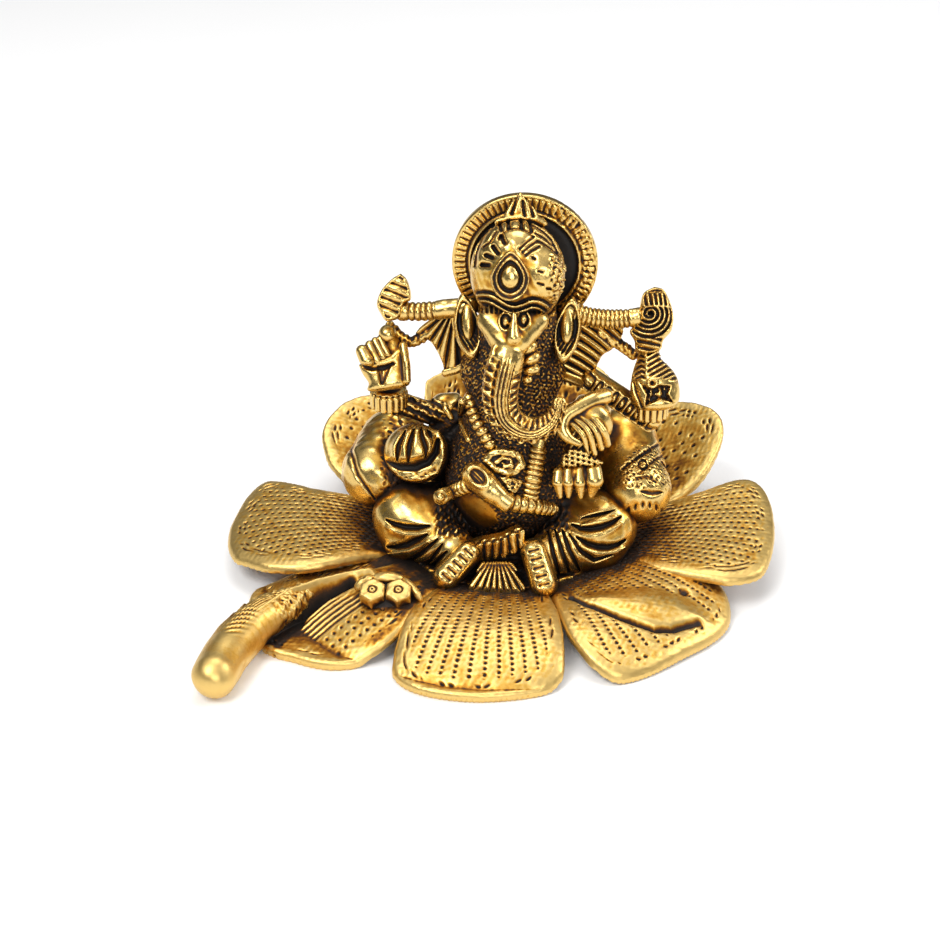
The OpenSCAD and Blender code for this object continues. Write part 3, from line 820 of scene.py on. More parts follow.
@sculpt("ornament_gold", "dhoti_pleats", margin=3)
def pleats():
    o = mid("dhoti_pleats")
    shape = smooth_shape([(-3.4, 0.2), (2.8, 0.2), (3.8, -2.2), (5.4, -4.6), (2.8, -6.9), (-1.3, -7.4),
                          (-4.9, -6.6), (-5.8, -4.2),
                          (-4.4, -2.0)], 30)

    def field(p):
        u, v, w = face_on(p, o)
        top = o + (0.3, 2.7, 3.2)
        q = p - top
        drop = -q[:, 2]
        pleat = beads(np.arctan2(u + 0.2, 3.2 - v) / 0.175, 0.6)
        body = np.abs((q[:, 1] + 0.85 * drop) * 0.75 + 1.6) - 1.2 - 1.15 * pleat * step(0.4, -1.6, v)
        return both(body * 0.8, outline(u, v, shape) - 0.4 * pleat, 0.5)
    return field, lambda v: 0.45 * step(-2.0, 0.0, face_on(v, o)[1])


@sculpt("ornament_gold", "waist_belt", margin=2.5)
def waist_belt():
    o = mid("waist_belt")
    path = curve([spot(o, *q) for q in ((-8.6, -2.6, -3.6), (-4.4, -0.8, -0.6), (-1.8, -0.2, 0.6),
                                        (1.0, 0.4, 1.3),
                                        (3.4, 1.7, 1.6), (5.6, 2.6, 1.2))], 18)

    def field(p):
        d, run, side, front = along(p, path)
        a = np.abs(side) - 1.9
        b = np.abs(front) - 1.5
        body = np.minimum(np.maximum(a, b), 0) + np.hypot(np.maximum(a, 0), np.maximum(b, 0)) - 0.35
        total = 15.6
        body = np.maximum(body, np.maximum(d - 3, np.maximum(0.1 - run, run - total)))
        ribs = 1.0 * (1 - beads((run - 0.35 * side) / 1.75, 0.8))
        return body + ribs * step(0.2, 0.8, front)
    return field


@sculpt("ornament_gold", "snake_belt", margin=4.5)
def snake_belt():
    o = mid("snake_belt")
    under = torso()[0]
    tail = curve(laid([(-11.4, -1.7), (-9.3, -0.8), (-6.5, 0.4), (-4.4, 1.4)], o, under, 0.9, -2), 12)
    neck = curve(laid([(-4.1, 2.9), (-2.4, 1.2), (-0.6, -0.6), (1.2, -2.0)], o, under, 1.9), 12)
    ribbed = curve(laid([(0.6, -1.7), (4.0, -2.9), (8.3, -3.6), (12.3, -4.3)], o, under, 1.1, -2), 12)

    def field(p):
        d, run, side, front = along(p, tail)
        body = d - 1.0 - 0.65 * beads(run / 1.35, 0.8)
        d, run, side, front = along(p, ribbed)
        body = np.minimum(body, d - spread(run, ribbed, [1.7, 1.6, 1.4, 1.1]) - 0.42 * beads(run / 1.55, 0.8))
        d, run, side, front = along(p, neck)
        # The head lies across the belly: a smooth loop, open at its top, that narrows into the ribbed part.
        smooth = np.hypot(side, front * 1.15) - spread(run, neck, [2.8, 2.95, 2.7, 2.1])
        smooth = np.maximum(smooth, d - 2.9)
        u, v, w = face_on(p, o)
        eye = np.hypot((0.7 * (u + 3.6) + 0.7 * (v - 2.6)) / 1.5, (0.7 * (u + 3.6) - 0.7 * (v - 2.6)) / 2.3)
        dish = 0.55 * step(1.0, 0.6, eye) - 0.3 * bell(eye - 1.15,
                                                       0.2) + 0.2 * waves(side / 0.6) * step(0.9, 0.6, eye)
        return join(body, smooth + dish * step(0, 0.8, front), 0.5)
    return field, lambda v: 0.3 * bell(np.hypot(face_on(v, o)[0] + 3.9, face_on(v, o)[1] - 2.4), 1.3)


@sculpt("ornament_gold", "garland", margin=5.5)
def garland():
    o = mid("garland")
    under = torso()[0]
    ladder = curve(laid([(-6.6, 8.4), (-6.1, 6.6), (-5.2, 3.7), (-3.7, 0.9), (-2.3, -1.5)], o, under, 0.5),
                   14)
    right = curve(laid([(7.9, -2.4), (7.7, -3.4), (7.2, -6.3), (6.7, -9.1), (6.2, -12.0)], o, under, 0.5,
                       2), 14)
    strips = [curve(laid(line, o, under, 0.5), 10) for line in
              ([(-8.0, 7.2), (-8.3, 4.7), (-7.8, 2.0), (-6.6, -0.6)], [(-11.8, 7.6), (-11.4, 6.0),
              (-10.4, 4.2)])]

    def field(p):
        d, run, side, front = along(p, ladder)
        body = d - 0.95 - 0.5 * beads(run / 1.6, 0.8)
        d, run, side, front = along(p, right)
        flat = (np.hypot(side / 1.45, front / 1.1) - 1) * 1.1
        body = np.minimum(body, np.maximum(flat - 0.42 * beads(run / 1.2, 0.8), d - 2.2))
        for line in strips:
            body = np.minimum(body, strand(p, line, 0.7))
        return body
    return field, lambda v: 0.25 * step(-1, 3, face_on(v, o)[1])


@sculpt("ornament_gold", "pendant", margin=7)
def pendant():
    o = mid("pendant")
    under = torso()[0]
    loop = [(-4.6, 1.0), (-3.6, 2.2), (-1.7, 2.8), (0.6, 2.5), (2.2, 1.5), (2.6, 0), (1.4, -1.2),
            (-0.3, -1.7), (-2.6, -1.0), (-4.6, 1.0)]
    ring = laid(loop, o, under, 0.55)
    swirl = laid([(-2.6, 0.6), (-1.2, 1.5), (0.4, 1.0), (0.6, -0.1), (-0.8, -0.3)], o, under, 0.5)

    def field(p):
        u, v, w = face_on(p, o)
        body = np.minimum(strand(p, ring, 0.85), strand(p, swirl, 0.6))
        bed = both(under(p) - 0.5, outline(u, v, loop[:-1]), 0.3)
        below = both(under(p) - 1.3,
                     outline(u, v, smooth_shape([(-1.9, -2.4), (2.6, -3.2), (2.4, -4.4), (0.9, -6.2),
                                                 (-0.2, -5.2)], 24)), 0.5)
        body = np.minimum(body, both(np.minimum(bed, below), -w - 6, 0.2))
        return body + 0.1 * grain(p, 0.9, 29)
    return field


# ---------- bolsters ----------

def bolster_field(side):
    o = mid("bolster_left" if side > 0 else "bolster_right")
    lines = [[(0.2, 2.2), (3.4, 4.4), (5.6, 5.4)], [(1.0, -0.6), (4.6, 2.2), (7.4, 3.4)],
             [(-2.6, 0.2), (0.2, 2.2), (3.6, 4.0)],
             [(6.0, 1.6), (7.8, -0.4), (8.4, -2.6)], [(0.2, -1.8), (2.4, -1.4), (4.2, -2.6)]]

    def field(p):
        if side > 0:
            body = rod(p, o + (1.4, -6.2, -2.0), o + (-2.2, 5.0, 2.6), 7.4, 7.8)
            u, v, w = face_on(p, o)
            near = step(0, 3, w)
            v = v + 0.9
            band = np.hypot((u - 2.8) / 5.6, (v + 1.2) / 6.6)
            deep = 0.42 * sum(stroke(u, v, line, 0.32) for line in lines)
            spots = 0.30 * step(0.2, 0.75, grain(p, 0.85, 41)) * step(1.05, 0.8, band) * step(-1.6, 0.6,
                v + 3.4)
            ring = 0.5 * bell(np.hypot(u - 1.6, v - 1.0) - 0.9, 0.25)
            dash = 0.6 * lens(u, v, [(1.1, -4.6), (3.4, -5.0), (5.6, -4.8)], 0.6)
            row = (u + 3) / 1.5
            leaves = 0.5 * bell(np.hypot((row - np.round(row)) * 1.5,
                                         (v + 7.4 + 0.10 * (u - 2) ** 2) * 0.55), 0.38) * step(6.4, 5.4,
                                         np.abs(u - 2.4))
            return body + (deep + spots + ring + dash + leaves) * near + 0.06 * grain(p, 3.5, 42)
        body = rod(p, o + (-1.6, -5.0, -0.4), o + (1.2, 4.6, 1.4), 7.5, 7.9)
        u, v, w = face_on(p, o)
        seam = 0.5 * lens(u, v, [(-6.0, 6.4), (-7.4, 2.0), (-5.6, -3.4), (-2.0, -8.6)], 0.5)
        cracks = 0.25 * step(0.2, 0.7, grain(p, 1.2, 44)) * step(-2, 2, u)
        return body + (seam + cracks) * step(0, 3, w) + 0.09 * grain(p, 2.4, 43)

    def grime_and_shade(v):
        u, w, n = face_on(v, o)
        if side > 0:
            return 0.12 * step(1.2, 0.8, np.hypot((u - 2.8) / 5.4, (w + 0.6) / 6.0)) * (1 + grain(v, 1.0, 45))
        return 0.16 * step(-3, 3, u) * (1 + grain(v, 1.6, 46))
    return field, grime_and_shade


for side, name in ((-1, "bolster_right"), (1, "bolster_left")):
    sculpt("figure_gold", name, margin=1.5)(lambda side=side: bolster_field(side))


# ---------- head ----------

@sculpt("figure_gold", "head", margin=3.5)
def head():
    o = mid("head")

    def field(p):
        u, v, w = face_on(p, o)
        body = egg(p, o + (0, 1.6, 0.8), (8.5, 8.4, 10.2))
        jaw = rod(p, spot(o, -1.0, -8.2, 1.5), spot(o, -1.0, -11.5, 1.0), 5.0, 3.6)
        body = join(body, jaw, 2)
        # Two full cheeks run down in a V to the root of the trunk.
        body = join(body, rod(p, spot(o, -5.6, -6.6, 2.9), spot(o, -2.4, -11.4, 4.6), 2.7, 2.9), 2.2)
        body = join(body, rod(p, spot(o, 4.4, -6.8, 3.7), spot(o, 0.6, -11.0, 4.9), 1.9, 2.1), 2.2)
        socket = np.minimum(egg(p, spot(o, -2.6, -7.0, 9.4), (1.5, 1.7, 1.0)),
                            egg(p, spot(o, 1.2, -6.8, 9.4), (1.4, 1.7, 1.0)))
        body = cut(body, socket, 0.8)
        for a, b in ((-2.5, -7.1), (1.1, -6.8)):
            lid = np.hypot((u - a) / 1.15, (v - b - 0.1) / 1.75)
            body = body - (0.25 * bell(lid - 1.1, 0.2) - 0.6 * step(0.95, 0.6, lid)) * step(4, 6, w)
            body = np.minimum(body, egg(p, spot(o, a, b, 7.2), (0.5, 1.1, 0.9)))
        body = join(body, rod(p, spot(o, -0.8, -5.5, 7.1), spot(o, -0.9, -10.4, 7.4), 0.4, 1.2), 0.9)
        fringe = waves(u / 0.95) * step(-5.6, -4.9, v) * step(-2.6, -3.6, v) * step(0, 1, w)
        hair = 0.3 * waves(np.arctan2(p[:, 0] - o[0], p[:, 1] - o[1]) * 6) * step(0, -4, w)
        return body + 0.5 * fringe + hair + 0.05 * grain(p, 2, 51)
    return field


@sculpt("figure_gold", "trunk", margin=1.5)
def trunk():
    o = mid("trunk")
    path = curve(o + [(-2.9, 3.6, 8.2), (-3.6, 0.8, 5.8), (-4.4, -0.8, 2.2), (-4.7, -1.9, -1.6),
                      (-3.8, -2.7, -5.2),
                      (-1.2, -3.1, -7.7), (2.2, -3, -8.5), (5.2, -2.4, -7.2), (6.8, -1.8, -5),
                      (7.2, -1.4, -3.2)], 34)
    radii = [3.1, 3.5, 3.75, 3.7, 3.5, 3.1, 2.8, 2.5, 2.1, 1.5]

    def field(p):
        d, run, side, front = along(p, path)
        r = spread(run, path, radii)
        body = d - r
        over = step(-0.5, 0.8, front)
        s = side / r
        # Like a quill: a middle rib, long lines beside it, and slanting barbs out to both edges.
        started = step(3.5, 6.5, run)
        barbs = waves((run - 1.6 * s) / 1.72) ** 0.7 * step(-0.22, -0.42, s) * started
        inner = waves((run + 1.8 * s) / 1.9) ** 0.7 * step(0.42, 0.6, s) * step(4.5, 7, run) * step(24, 19,
            run)
        braid = waves((run - 1.2 * s) / 1.5) * step(0.3, 0.5, s) * step(19, 22, run)
        lines = waves((s - 0.02) / 0.225) * step(-0.46, -0.34, s) * step(0.55, 0.42, s) * started
        part = 0.5 * bell(s + 0.40, 0.05) + 0.5 * bell(s - 0.48, 0.05) * step(25, 18, run)
        edge = 0.4 * bell(s + 0.93, 0.12)
        relief = 0.62 * barbs + 0.5 * inner + 0.45 * braid + 0.36 * lines + part * started
        tip = 0.35 * np.maximum(grain(p, 1.1, 53), 0) * step(29, 33, run)
        return body + relief * over - edge * over + tip + 0.04 * grain(p, 1.5, 52)
    return field


@sculpt("figure_gold", "tusk_left", margin=3)
def tusk():
    o = mid("tusk_left")
    path = curve(o + [(-3.4, 0.4, 3.4), (-2.6, -0.4, 1.0), (-2.4, -1.2, -1.6), (-3.2, -1.8, -3.6)], 10)

    def field(p):
        d, run, side, _ = along(p, path)
        return d - spread(run, path, [2.0, 2.1, 1.9, 1.2]) + 1.0 * (1 - beads(run / 2.3 + 0.1 * side, 0.8))
    return field


def ear_field(side):
    o = mid("ear_left" if side > 0 else "ear_right")

    def field(p):
        u, v, w = face_on(p, o)
        u = u * side - 0.14 * v - 0.1
        wide = 2.75 - 0.16 * np.maximum(v - 1, 0) - 0.10 * np.maximum(-v - 3, 0) ** 1.4
        ring = np.hypot(u / np.maximum(wide, 0.6), v / 6.6)
        plate = np.abs(w + 0.02 * u**2) - 1.5
        rim = 0.55 * bell((ring - 0.86) * 2.7, 0.4)
        lobe = egg(np.stack([u, v, w], 1), np.array([-0.3, 1.2, 0.9]), (1.5, 4.1, 1.4),
                   [(1, 0.16, 0), (-0.16, 1, 0), (0, 0, 1)])
        slot = 0.9 * step(0.84, 0.62, ring)
        folds = 0.5 * waves((u - 0.5 * v) / 0.95) * step(-0.5, -1.8, v) * step(0.8, 0.7, ring)
        body = both(plate, (ring - 1) * 2.6, 1.0)
        return join(body + (slot - rim - folds) * step(0, 0.8, w), lobe, 0.3)

    def grime_and_shade(p):
        u, v, w = face_on(p, o)
        u = u * side - 0.14 * v - 0.1
        return 0.35 * step(0.8, 0.66, np.hypot(u / 2.6, v / 6.6)) * step(1.2, 0.4, w)
    return field, grime_and_shade


for side, name in ((-1, "ear_right"), (1, "ear_left")):
    sculpt("figure_gold", name, margin=4)(lambda side=side: ear_field(side))


@sculpt("ornament_gold", "crown", margin=1.6)
def crown():
    o = mid("crown")
    dome = o + (0, 0, -2.4)
    brow = [(-9.8, -8.2), (-8.2, -7.5), (-6.4, -7.6), (-4.6, -8.4), (-2.6, -9.6), (-0.8, -10.1), (1.0, -9.7),
            (2.6, -9.1), (4.4, -9.3), (6.2, -10.4), (7.4, -11.8)]
    brow = curve([(a, b, 0) for a, b in brow], 26)[:, :2]
    deep = [[(-3.35, 4.3), (-2.8, 3.0)], [(-5.0, 2.4), (-4.1, 1.0)], [(-6.4, 0.8), (-5.2, 0.2)],
            [(-7.2, -1.0), (-6.0, -1.2)],
            [(2.7, 0.0), (3.1, -0.3)], [(3.9, -2.7), (4.7, -2.9)], [(3.8, -5.0), (4.8, -5.3)],
            [(5.6, -6.0), (6.3, -6.0)]]
    ribs = [[(-3.6, 7.6), (-3.4, 5.8)], [(-1.95, 7.7), (-1.9, 6.2)], [(0.6, 7.8), (0.6, 6.2)],
            [(2.3, 7.6), (2.6, 5.5)]]
    lines = [[(-3.9, 3.9), (-3.1, 5.1), (-1.9, 6.0), (0.4, 6.0), (2.0, 5.3), (2.9, 4.4)],
             [(0.2, 1.7), (1.4, 2.9), (2.9, 4.2)], [(0.8, 1.1), (2.2, 2.3), (3.6, 3.4)],
             [(1.4, 0.5), (2.6, 1.4), (4.1, 2.3)],
             [(3.3, 5.1), (5.0, 4.2), (6.7, 2.9)], [(4.0, 3.4), (6.0, 2.4), (7.9, 1.0)],
             [(3.0, 6.9), (5.0, 5.6), (6.6, 4.0), (7.8, 1.6)],
             [(-4.4, 5.4), (-5.7, 3.4), (-6.9, 2.6)], [(-6.2, 6.2), (-7.3, 4.2), (-8.3, 1.6), (-8.6, -1)],
             [(-5.2, 7.0), (-3, 8.1), (0, 8.5), (2.6, 8.1), (4.6, 6.9)]]

    def field(p):
        u, v, w = face_on(p, o)
        body = egg(p, dome, (9.6, 8.6, 11.2))
        # The helmet swells on its right, where the photographed side is smooth and full.
        body = join(body, egg(p, spot(o, 4.6, -3.4, 4.0), (4.4, 4.2, 5.6)), 2)
        front = step(-1, 1.5, w)
        d = np.full(len(p), 1e9)
        flat = np.stack([u, v], 1)
        for a, b in zip(brow[:-1], brow[1:]):
            d = np.minimum(d, rod(flat, a, b, 0))
        under = v < np.interp(u, brow[:, 0], brow[:, 1])
        d = np.where(under, d, -d)
        bands = 0.55 * bell(d + 0.6, 0.42) + 0.55 * bell(d - 0.5, 0.42) + 0.45 * bell(d - 1.6, 0.4)
        between = 0.5 * bell(d + 0.05, 0.25) + 0.6 * bell(d - 1.05, 0.28) + 0.4 * bell(d + 1.3, 0.3)
        pits = sum((1.0 if line[0][0] < 0 else 0.5) * stroke(u, v, line, 0.42 if line[0][0] < 0 else 0.24)
                   for line in deep)
        pits = pits + sum(1.0 * stroke(u, v, line, 0.4) for line in ribs)
        pits = pits + sum(0.5 * stroke(u, v, line, 0.3) for line in lines)
        petal = 0.5 * bell(np.hypot((u + 0.7) / 1.2, v - 3.6), 2.2)
        speckle = 0.35 * grain(p, 1.0, 55) * step(5.5, 7.5, u) * step(4, -2, v) + 0.05 * grain(p, 2.0, 56)
        crease = 0.3 * waves(np.arctan2(p[:, 0] - o[0], p[:, 1] - o[1]) * 9) * step(-1, -3, w)
        body = body + (pits + between - bands - petal + speckle) * front + crease
        floor = o[2] - 8.9 - p[:, 2] + 0.16 * (p[:, 1] - o[1])
        return both(body, floor, 0.6)
    return field


@sculpt("ornament_gold", "crown_finial", margin=2)
def finial():
    o = mid("crown_finial")
    shape = [(-0.6, 3.6), (0.9, 2.4), (3.2, 0.0), (4.8, -2.9), (3.2, -3.6), (-0.4, -2.9), (-3.6, -3.0),
             (-5.8, -3.4), (-4.4, -0.6),
             (-2.4, 2.2)]
    lines = [[(-1.9, 2.6), (-3.1, 0.8), (-4.3, -1.4)], [(-1.2, 2.5), (-1.7, 1.1), (-2.3, -0.8)],
             [(-0.1, 1.6), (0, 0.4), (0.3, -1.4)], [(1.3, 0.9), (1.7, -0.3), (2.0, -1.5)],
             [(0.5, 2.4), (2.3, 0.6), (3.6, -1.4)]]
    n = unit((0, -1, 0.5))

    def field(p):
        u, v, w = face_on(p, o)
        body = both(np.abs((p - o) @ n) - 1.35, outline(u, v, shape), 0.8)
        arch = 0.7 * stroke(u, v, [(-5.4, -2.4), (-3, -1.8), (0, -1.6), (2.4, -2), (4.2, -3)], 0.6)
        return body + 0.75 * sum(stroke(u, v, line, 0.3) for line in lines) - arch * step(0, 1, w)
    return field


@sculpt("ornament_gold", "forehead_gem", margin=2.4)
def gem():
    o = mid("forehead_gem")
    out = unit((0.02, -1, 0.3))
    across = unit(np.cross((0, 0, 1), -out))
    axes = np.array([across, np.cross(out, across), out])
    if axes[1][2] < 0:
        axes[:2] *= -1

    def field(p):
        u, v, w = ((p - o) @ axes.T).T
        v = v + 0.5
        taper = 1 - 0.062 * np.clip(v - 0.2, 0, 5.6) ** 1.25
        ring = np.hypot(u / (4.0 * np.maximum(taper, 0.2)), np.where(v > 0, v / 5.5, v / 4.8))
        rise = np.interp(ring, [0, 0.25, 0.40, 0.48, 0.54, 0.60, 0.68, 0.76, 0.84, 0.92, 1.0],
                         [2.5, 2.25, 1.75, 1.1, 0.75, 1.1, 1.65, 1.2, 1.15, 1.6, 0.6])
        top = w - rise + 0.1
        return both(both(top, (ring - 1) * 3.4, 0.4), -w - 1.6, 0.2) + 0.03 * grain(p, 1.5, 57)
    return field


@sculpt("ornament_gold", "halo", margin=0.8)
def halo():
    lo, hi = box("halo")
    r = (hi[0] - lo[0]) / 2
    o = np.array([(lo[0] + hi[0]) / 2, (lo[1] + hi[1]) / 2, hi[2] - r])

    def field(p):
        x, y, z = (p - o).T
        ring = np.hypot(x, z)
        turn = np.arctan2(x, z)
        ribs = beads(turn / TAU * 64, 0.5) * step(11.9, 12.4, ring) * step(r - 0.55, r - 1.0, ring)
        rough = 0.16 * grain(p, 1.0, 61) * step(0.15, 0.5, turn) * step(11, 12, ring)
        thick = (0.72 + 0.42 * ribs + 0.38 * bell(ring - r + 0.35, 0.42) + 0.42 * bell(ring - 11.4, 0.42)
                 - 0.22 * bell(ring - 10.4, 0.5) + rough)
        disc = both(np.abs(y) - np.minimum(thick, 1.14), ring - r + 0.05, 0.35)
        foot = both(np.abs(y) - 0.95, np.abs(x) - 4.2, 0.4)
        foot = both(foot, np.maximum(z + 8, lo[2] - o[2] - z), 0.4)
        return np.minimum(disc, foot)

    def grime_and_shade(v):
        x, y, z = (v - o).T
        return 0.6 * step(11.4, 10.8, np.hypot(x, z)) * step(0, -0.5, y)
    return field, grime_and_shade


# ---------- arms and hands ----------

def ringed(node, offsets, radii, rings, pitch=1.1, power=0.7, flat=1.0):
    """A sleeve that bangles run round, from one length run to another."""
    def make():
        path = curve(mid(node) + offsets, 18)

        def field(p):
            d, run, side, front = along(p, path)
            body = (np.hypot(side * flat, front) - spread(run, path, radii))
            body = np.maximum(body, d - max(radii))
            marks = 0.75 * beads(run / pitch, power) * step(rings[0], rings[0] + 0.6, run) * step(rings[1]
                + 0.6, rings[1], run)
            covered = step(rings[0], rings[0] + 0.4, run) * step(rings[1] + 0.4, rings[1], run)
            return body + 0.42 * covered - 0.5 * marks + 0.06 * grain(p, 2.2, 63)
        return field
    return make


sculpt("figure_gold", "upper_arm_left")(ringed(
    "upper_arm_left", [(-7.2, 0, 1.1), (-2.5, 0, -0.2), (2.0, 0, -0.5), (6.4, 0, 0.1)],
    [2.3, 2.1, 2.2, 2.0], (0.8, 13.4), 0.98))
sculpt("figure_gold", "upper_arm_right")(ringed(
    "upper_arm_right", [(7.2, 0, 1.2), (2.5, 0, 0.5), (-2.0, 0, -0.3), (-6.4, 0, -0.4)],
    [2.1, 2.0, 2.1, 2.0], (6.6, 13.2), 1.25))


@sculpt("figure_gold", "forearm_right")
def forearm_right():
    o = mid("forearm_right")
    path = curve(o + [(9.4, 2.6, -1.6), (2, 0.6, -0.6), (-6.2, -0.4, 1.8)], 12)

    def field(p):
        d, run, side, front = along(p, path)
        u, v, w = face_on(p, o)
        folds = 0.5 * waves((u * 0.5 + v) / 2.0) + 0.3 * np.maximum(grain(p, 1.3, 65), 0)
        return d - spread(run, path, [3.2, 2.9, 2.6]) + folds
    # Darkened evenly all over: painted shadow, for the forearm that lies in shadow under the hand.
    return field, lambda v: 0.45 + 0 * v[:, 0]


@sculpt("figure_gold", "forearm_left")
def forearm_left():
    o = mid("forearm_left")
    path = curve(o + [(-6.2, 0.6, 4.0), (-0.2, -0.4, 0.4), (6.2, -0.6, -4.0)], 12)

    def field(p):
        d, run, side, front = along(p, path)
        cell = (run / 1.9 - np.round(run / 1.9)) * 1.9
        oval = np.hypot(cell / 0.5, side / 1.25)
        relief = 0.6 * bell(oval - 1.1, 0.42) - 0.3 * bell(np.abs(side) - 1.95, 0.3)
        return d - spread(run, path, [2.5, 2.6, 2.6]) + relief * step(0.2, 1.0, front)
    return field, lambda v: 0.15 + 0 * v[:, 0]


@sculpt("ornament_gold", "shawl_left", margin=8)
def shawl_left():
    o = mid("shawl_left")
    shape = smooth_shape([(-3.0, 6.4), (2.4, 6.0), (6.8, 5.4), (6.8, 3.0), (4.9, 0.8), (3.2, -0.2),
                          (2.1, -2.2), (1.5, -4.2),
                          (1.4, -6.4), (-2.4, -5.6), (-5.4, -4.0), (-5.0, 0), (-4.2, 4)])

    def field(p):
        u, v, w = face_on(p, o)
        n = np.array([0.03, -1, 0.12])
        across = 0.55 * u + 0.83 * v + 0.02 * u * u
        folds = beads(across / 1.62 + 0.15, 0.65)
        fine = waves(across / 0.54) * step(0.2, 1.4, v)
        body = np.abs((p - o) @ n) - 1.55 + 1.15 * (1 - folds) + 0.14 * fine
        hem = rod(np.stack([u, v], 1), (-5.4, -4.2), (1.2, -6.8), 1.0)
        body = both(body, outline(u, v, shape), 0.5)
        body = np.minimum(body, both(hem, np.abs((p - o) @ n) - 1.7, 0.6))
        return np.minimum(body, strand(p, web, 1.15) + 0.15 * grain(p, 1.2, 75))

    web = curve([spot(o, *q) for q in ((2.6, 4.4, 2.4), (4.6, 3.0, 2.0), (6.6, 1.8, 1.6),
                                       (9.4, -0.2, 0.8))], 9)
    return field, lambda v: 0.6 * step(5.2, 6.2, face_on(v, o)[0]) * step(3.4, 2.4, face_on(v, o)[1])


@sculpt("ornament_gold", "shawl_right", margin=8)
def shawl_right():
    o = mid("shawl_right")
    shape = smooth_shape([(-6.7, 3.0), (-5.4, 4.5), (-2.6, 6.3), (0.6, 7.2), (3.6, 6.8), (4.2, 2.7),
                          (4.8, -0.7),
                          (4.2, -3.4), (2.0, -4.6), (-0.5, -5.6), (-1.0, -3.3), (-2.2, -0.7), (-3.7, 1.4)])

    def field(p):
        u, v, w = face_on(p, o)
        n = np.array([-0.03, -1, 0.12])
        turn = np.degrees(np.arctan2(1.6 - u, 8.6 - v))
        folds = beads((turn + 4) / 13.5, 0.65)
        body = np.abs((p - o) @ n) - 1.55 + 1.15 * (1 - folds) * step(0.5, 3, np.hypot(u - 1.6, v - 8.6))
        body = both(body, outline(u, v, shape), 0.5)
        hem = strand(np.stack([u, v], 1), [(-0.6, -5.2), (1.8, -4.6), (4.4, -3.0)], 0.75)
        strip = strand(np.stack([u, v], 1), [(1.2, 6.6), (1.6, 4), (2.6, 1.2), (3.8, -1.0)], 0.62)
        body = np.minimum(body, both(np.minimum(hem, strip), np.abs((p - o) @ n) - 1.7, 0.6))
        return np.minimum(body, strand(p, web, 1.15) + 0.15 * grain(p, 1.2, 76))

    web = curve([spot(o, *q) for q in ((-3.8, 3.4, 1.2), (-6.4, 1.6, 0.2), (-8.8, 1.6, 0.2),
                                       (-12.0, 4.4, 1.0))], 9)
    return field, lambda v: 0.6 * step(-5.4, -6.4, face_on(v, o)[0])


@sculpt("ornament_gold", "axe_head")
def axe():
    o = mid("axe_head")
    shape = smooth_shape([(1.9, 5.6), (3.1, 4.5), (3.9, 2.4), (4.0, 0.2), (2.6, -0.8), (1.8, -3.4),
                          (0.2, -4.2), (-1.3, -4.2),
                          (-2.4, -2.6), (-3.1, -1.0), (-2.8, 0.7), (-1.8, 2.6), (0.1, 4.5)])

    def field(p):
        u, v, w = face_on(p, o)
        edge = outline(u, v, shape)
        swell = np.sqrt(np.clip(-edge, 0, 2.2) / 2.2) * 1.5 + 0.5
        along_it = 0.37 * u + 0.93 * v
        ridges = beads(along_it / 1.75 + 0.1, 0.7)
        body = np.abs(w) - swell + 0.75 * (1 - ridges) * step(-0.3, -0.9, edge)
        rim = 0.3 * bell(edge + 0.4, 0.3)
        return both((body - rim) * 0.8, edge, 0.5)
    return field


@sculpt("ornament_gold", "conch", margin=2.4)
def conch():
    o = mid("conch")
    shape = smooth_shape([(0, 7.7), (2.0, 7.0), (3.5, 3.9), (4.0, 1.0), (3.5, -1.6), (1.9, -3.5),
                          (1.3, -5.4), (-1.2, -6.2),
                          (-3.8, -5.8), (-4.2, -3.6), (-5.2, -1.6), (-3.9, 0.2), (-3.1, 3.7), (-2.3, 6.4)])

    def field(p):
        u, v, w = face_on(p, o)
        edge = outline(u, v, shape)
        swell = 3.1 * np.sqrt(np.clip(-edge, 0, 3.2) / 3.2) + 0.2
        body = (np.abs(w) - swell) * 0.75
        eye = np.hypot(u + 1.15, v - 1.9)
        turn = np.arctan2(v - 1.9, u + 1.15)
        coil = eye + 0.18 * turn
        rings = waves(coil / 1.0) * step(5.6, 5.0, eye) * step(3.6, 2.8, v)
        ribs = waves(u / 1.0 + 0.1 * v) * step(3.3, 3.9, v) * step(6.6, 6.0, v)
        cap = bell(v - 6.7, 0.35)
        neck = waves((v + 0.2 * u) / 1.25) * step(-2.6, -3.4, v)
        deep = 0.85 * rings + 0.8 * ribs + 0.7 * cap + 0.7 * neck + 1.2 * bell(eye, 0.5)
        return both(body + deep * step(0, 0.8, w) * step(-0.2, -0.7, edge), edge, 0.8)
    return field


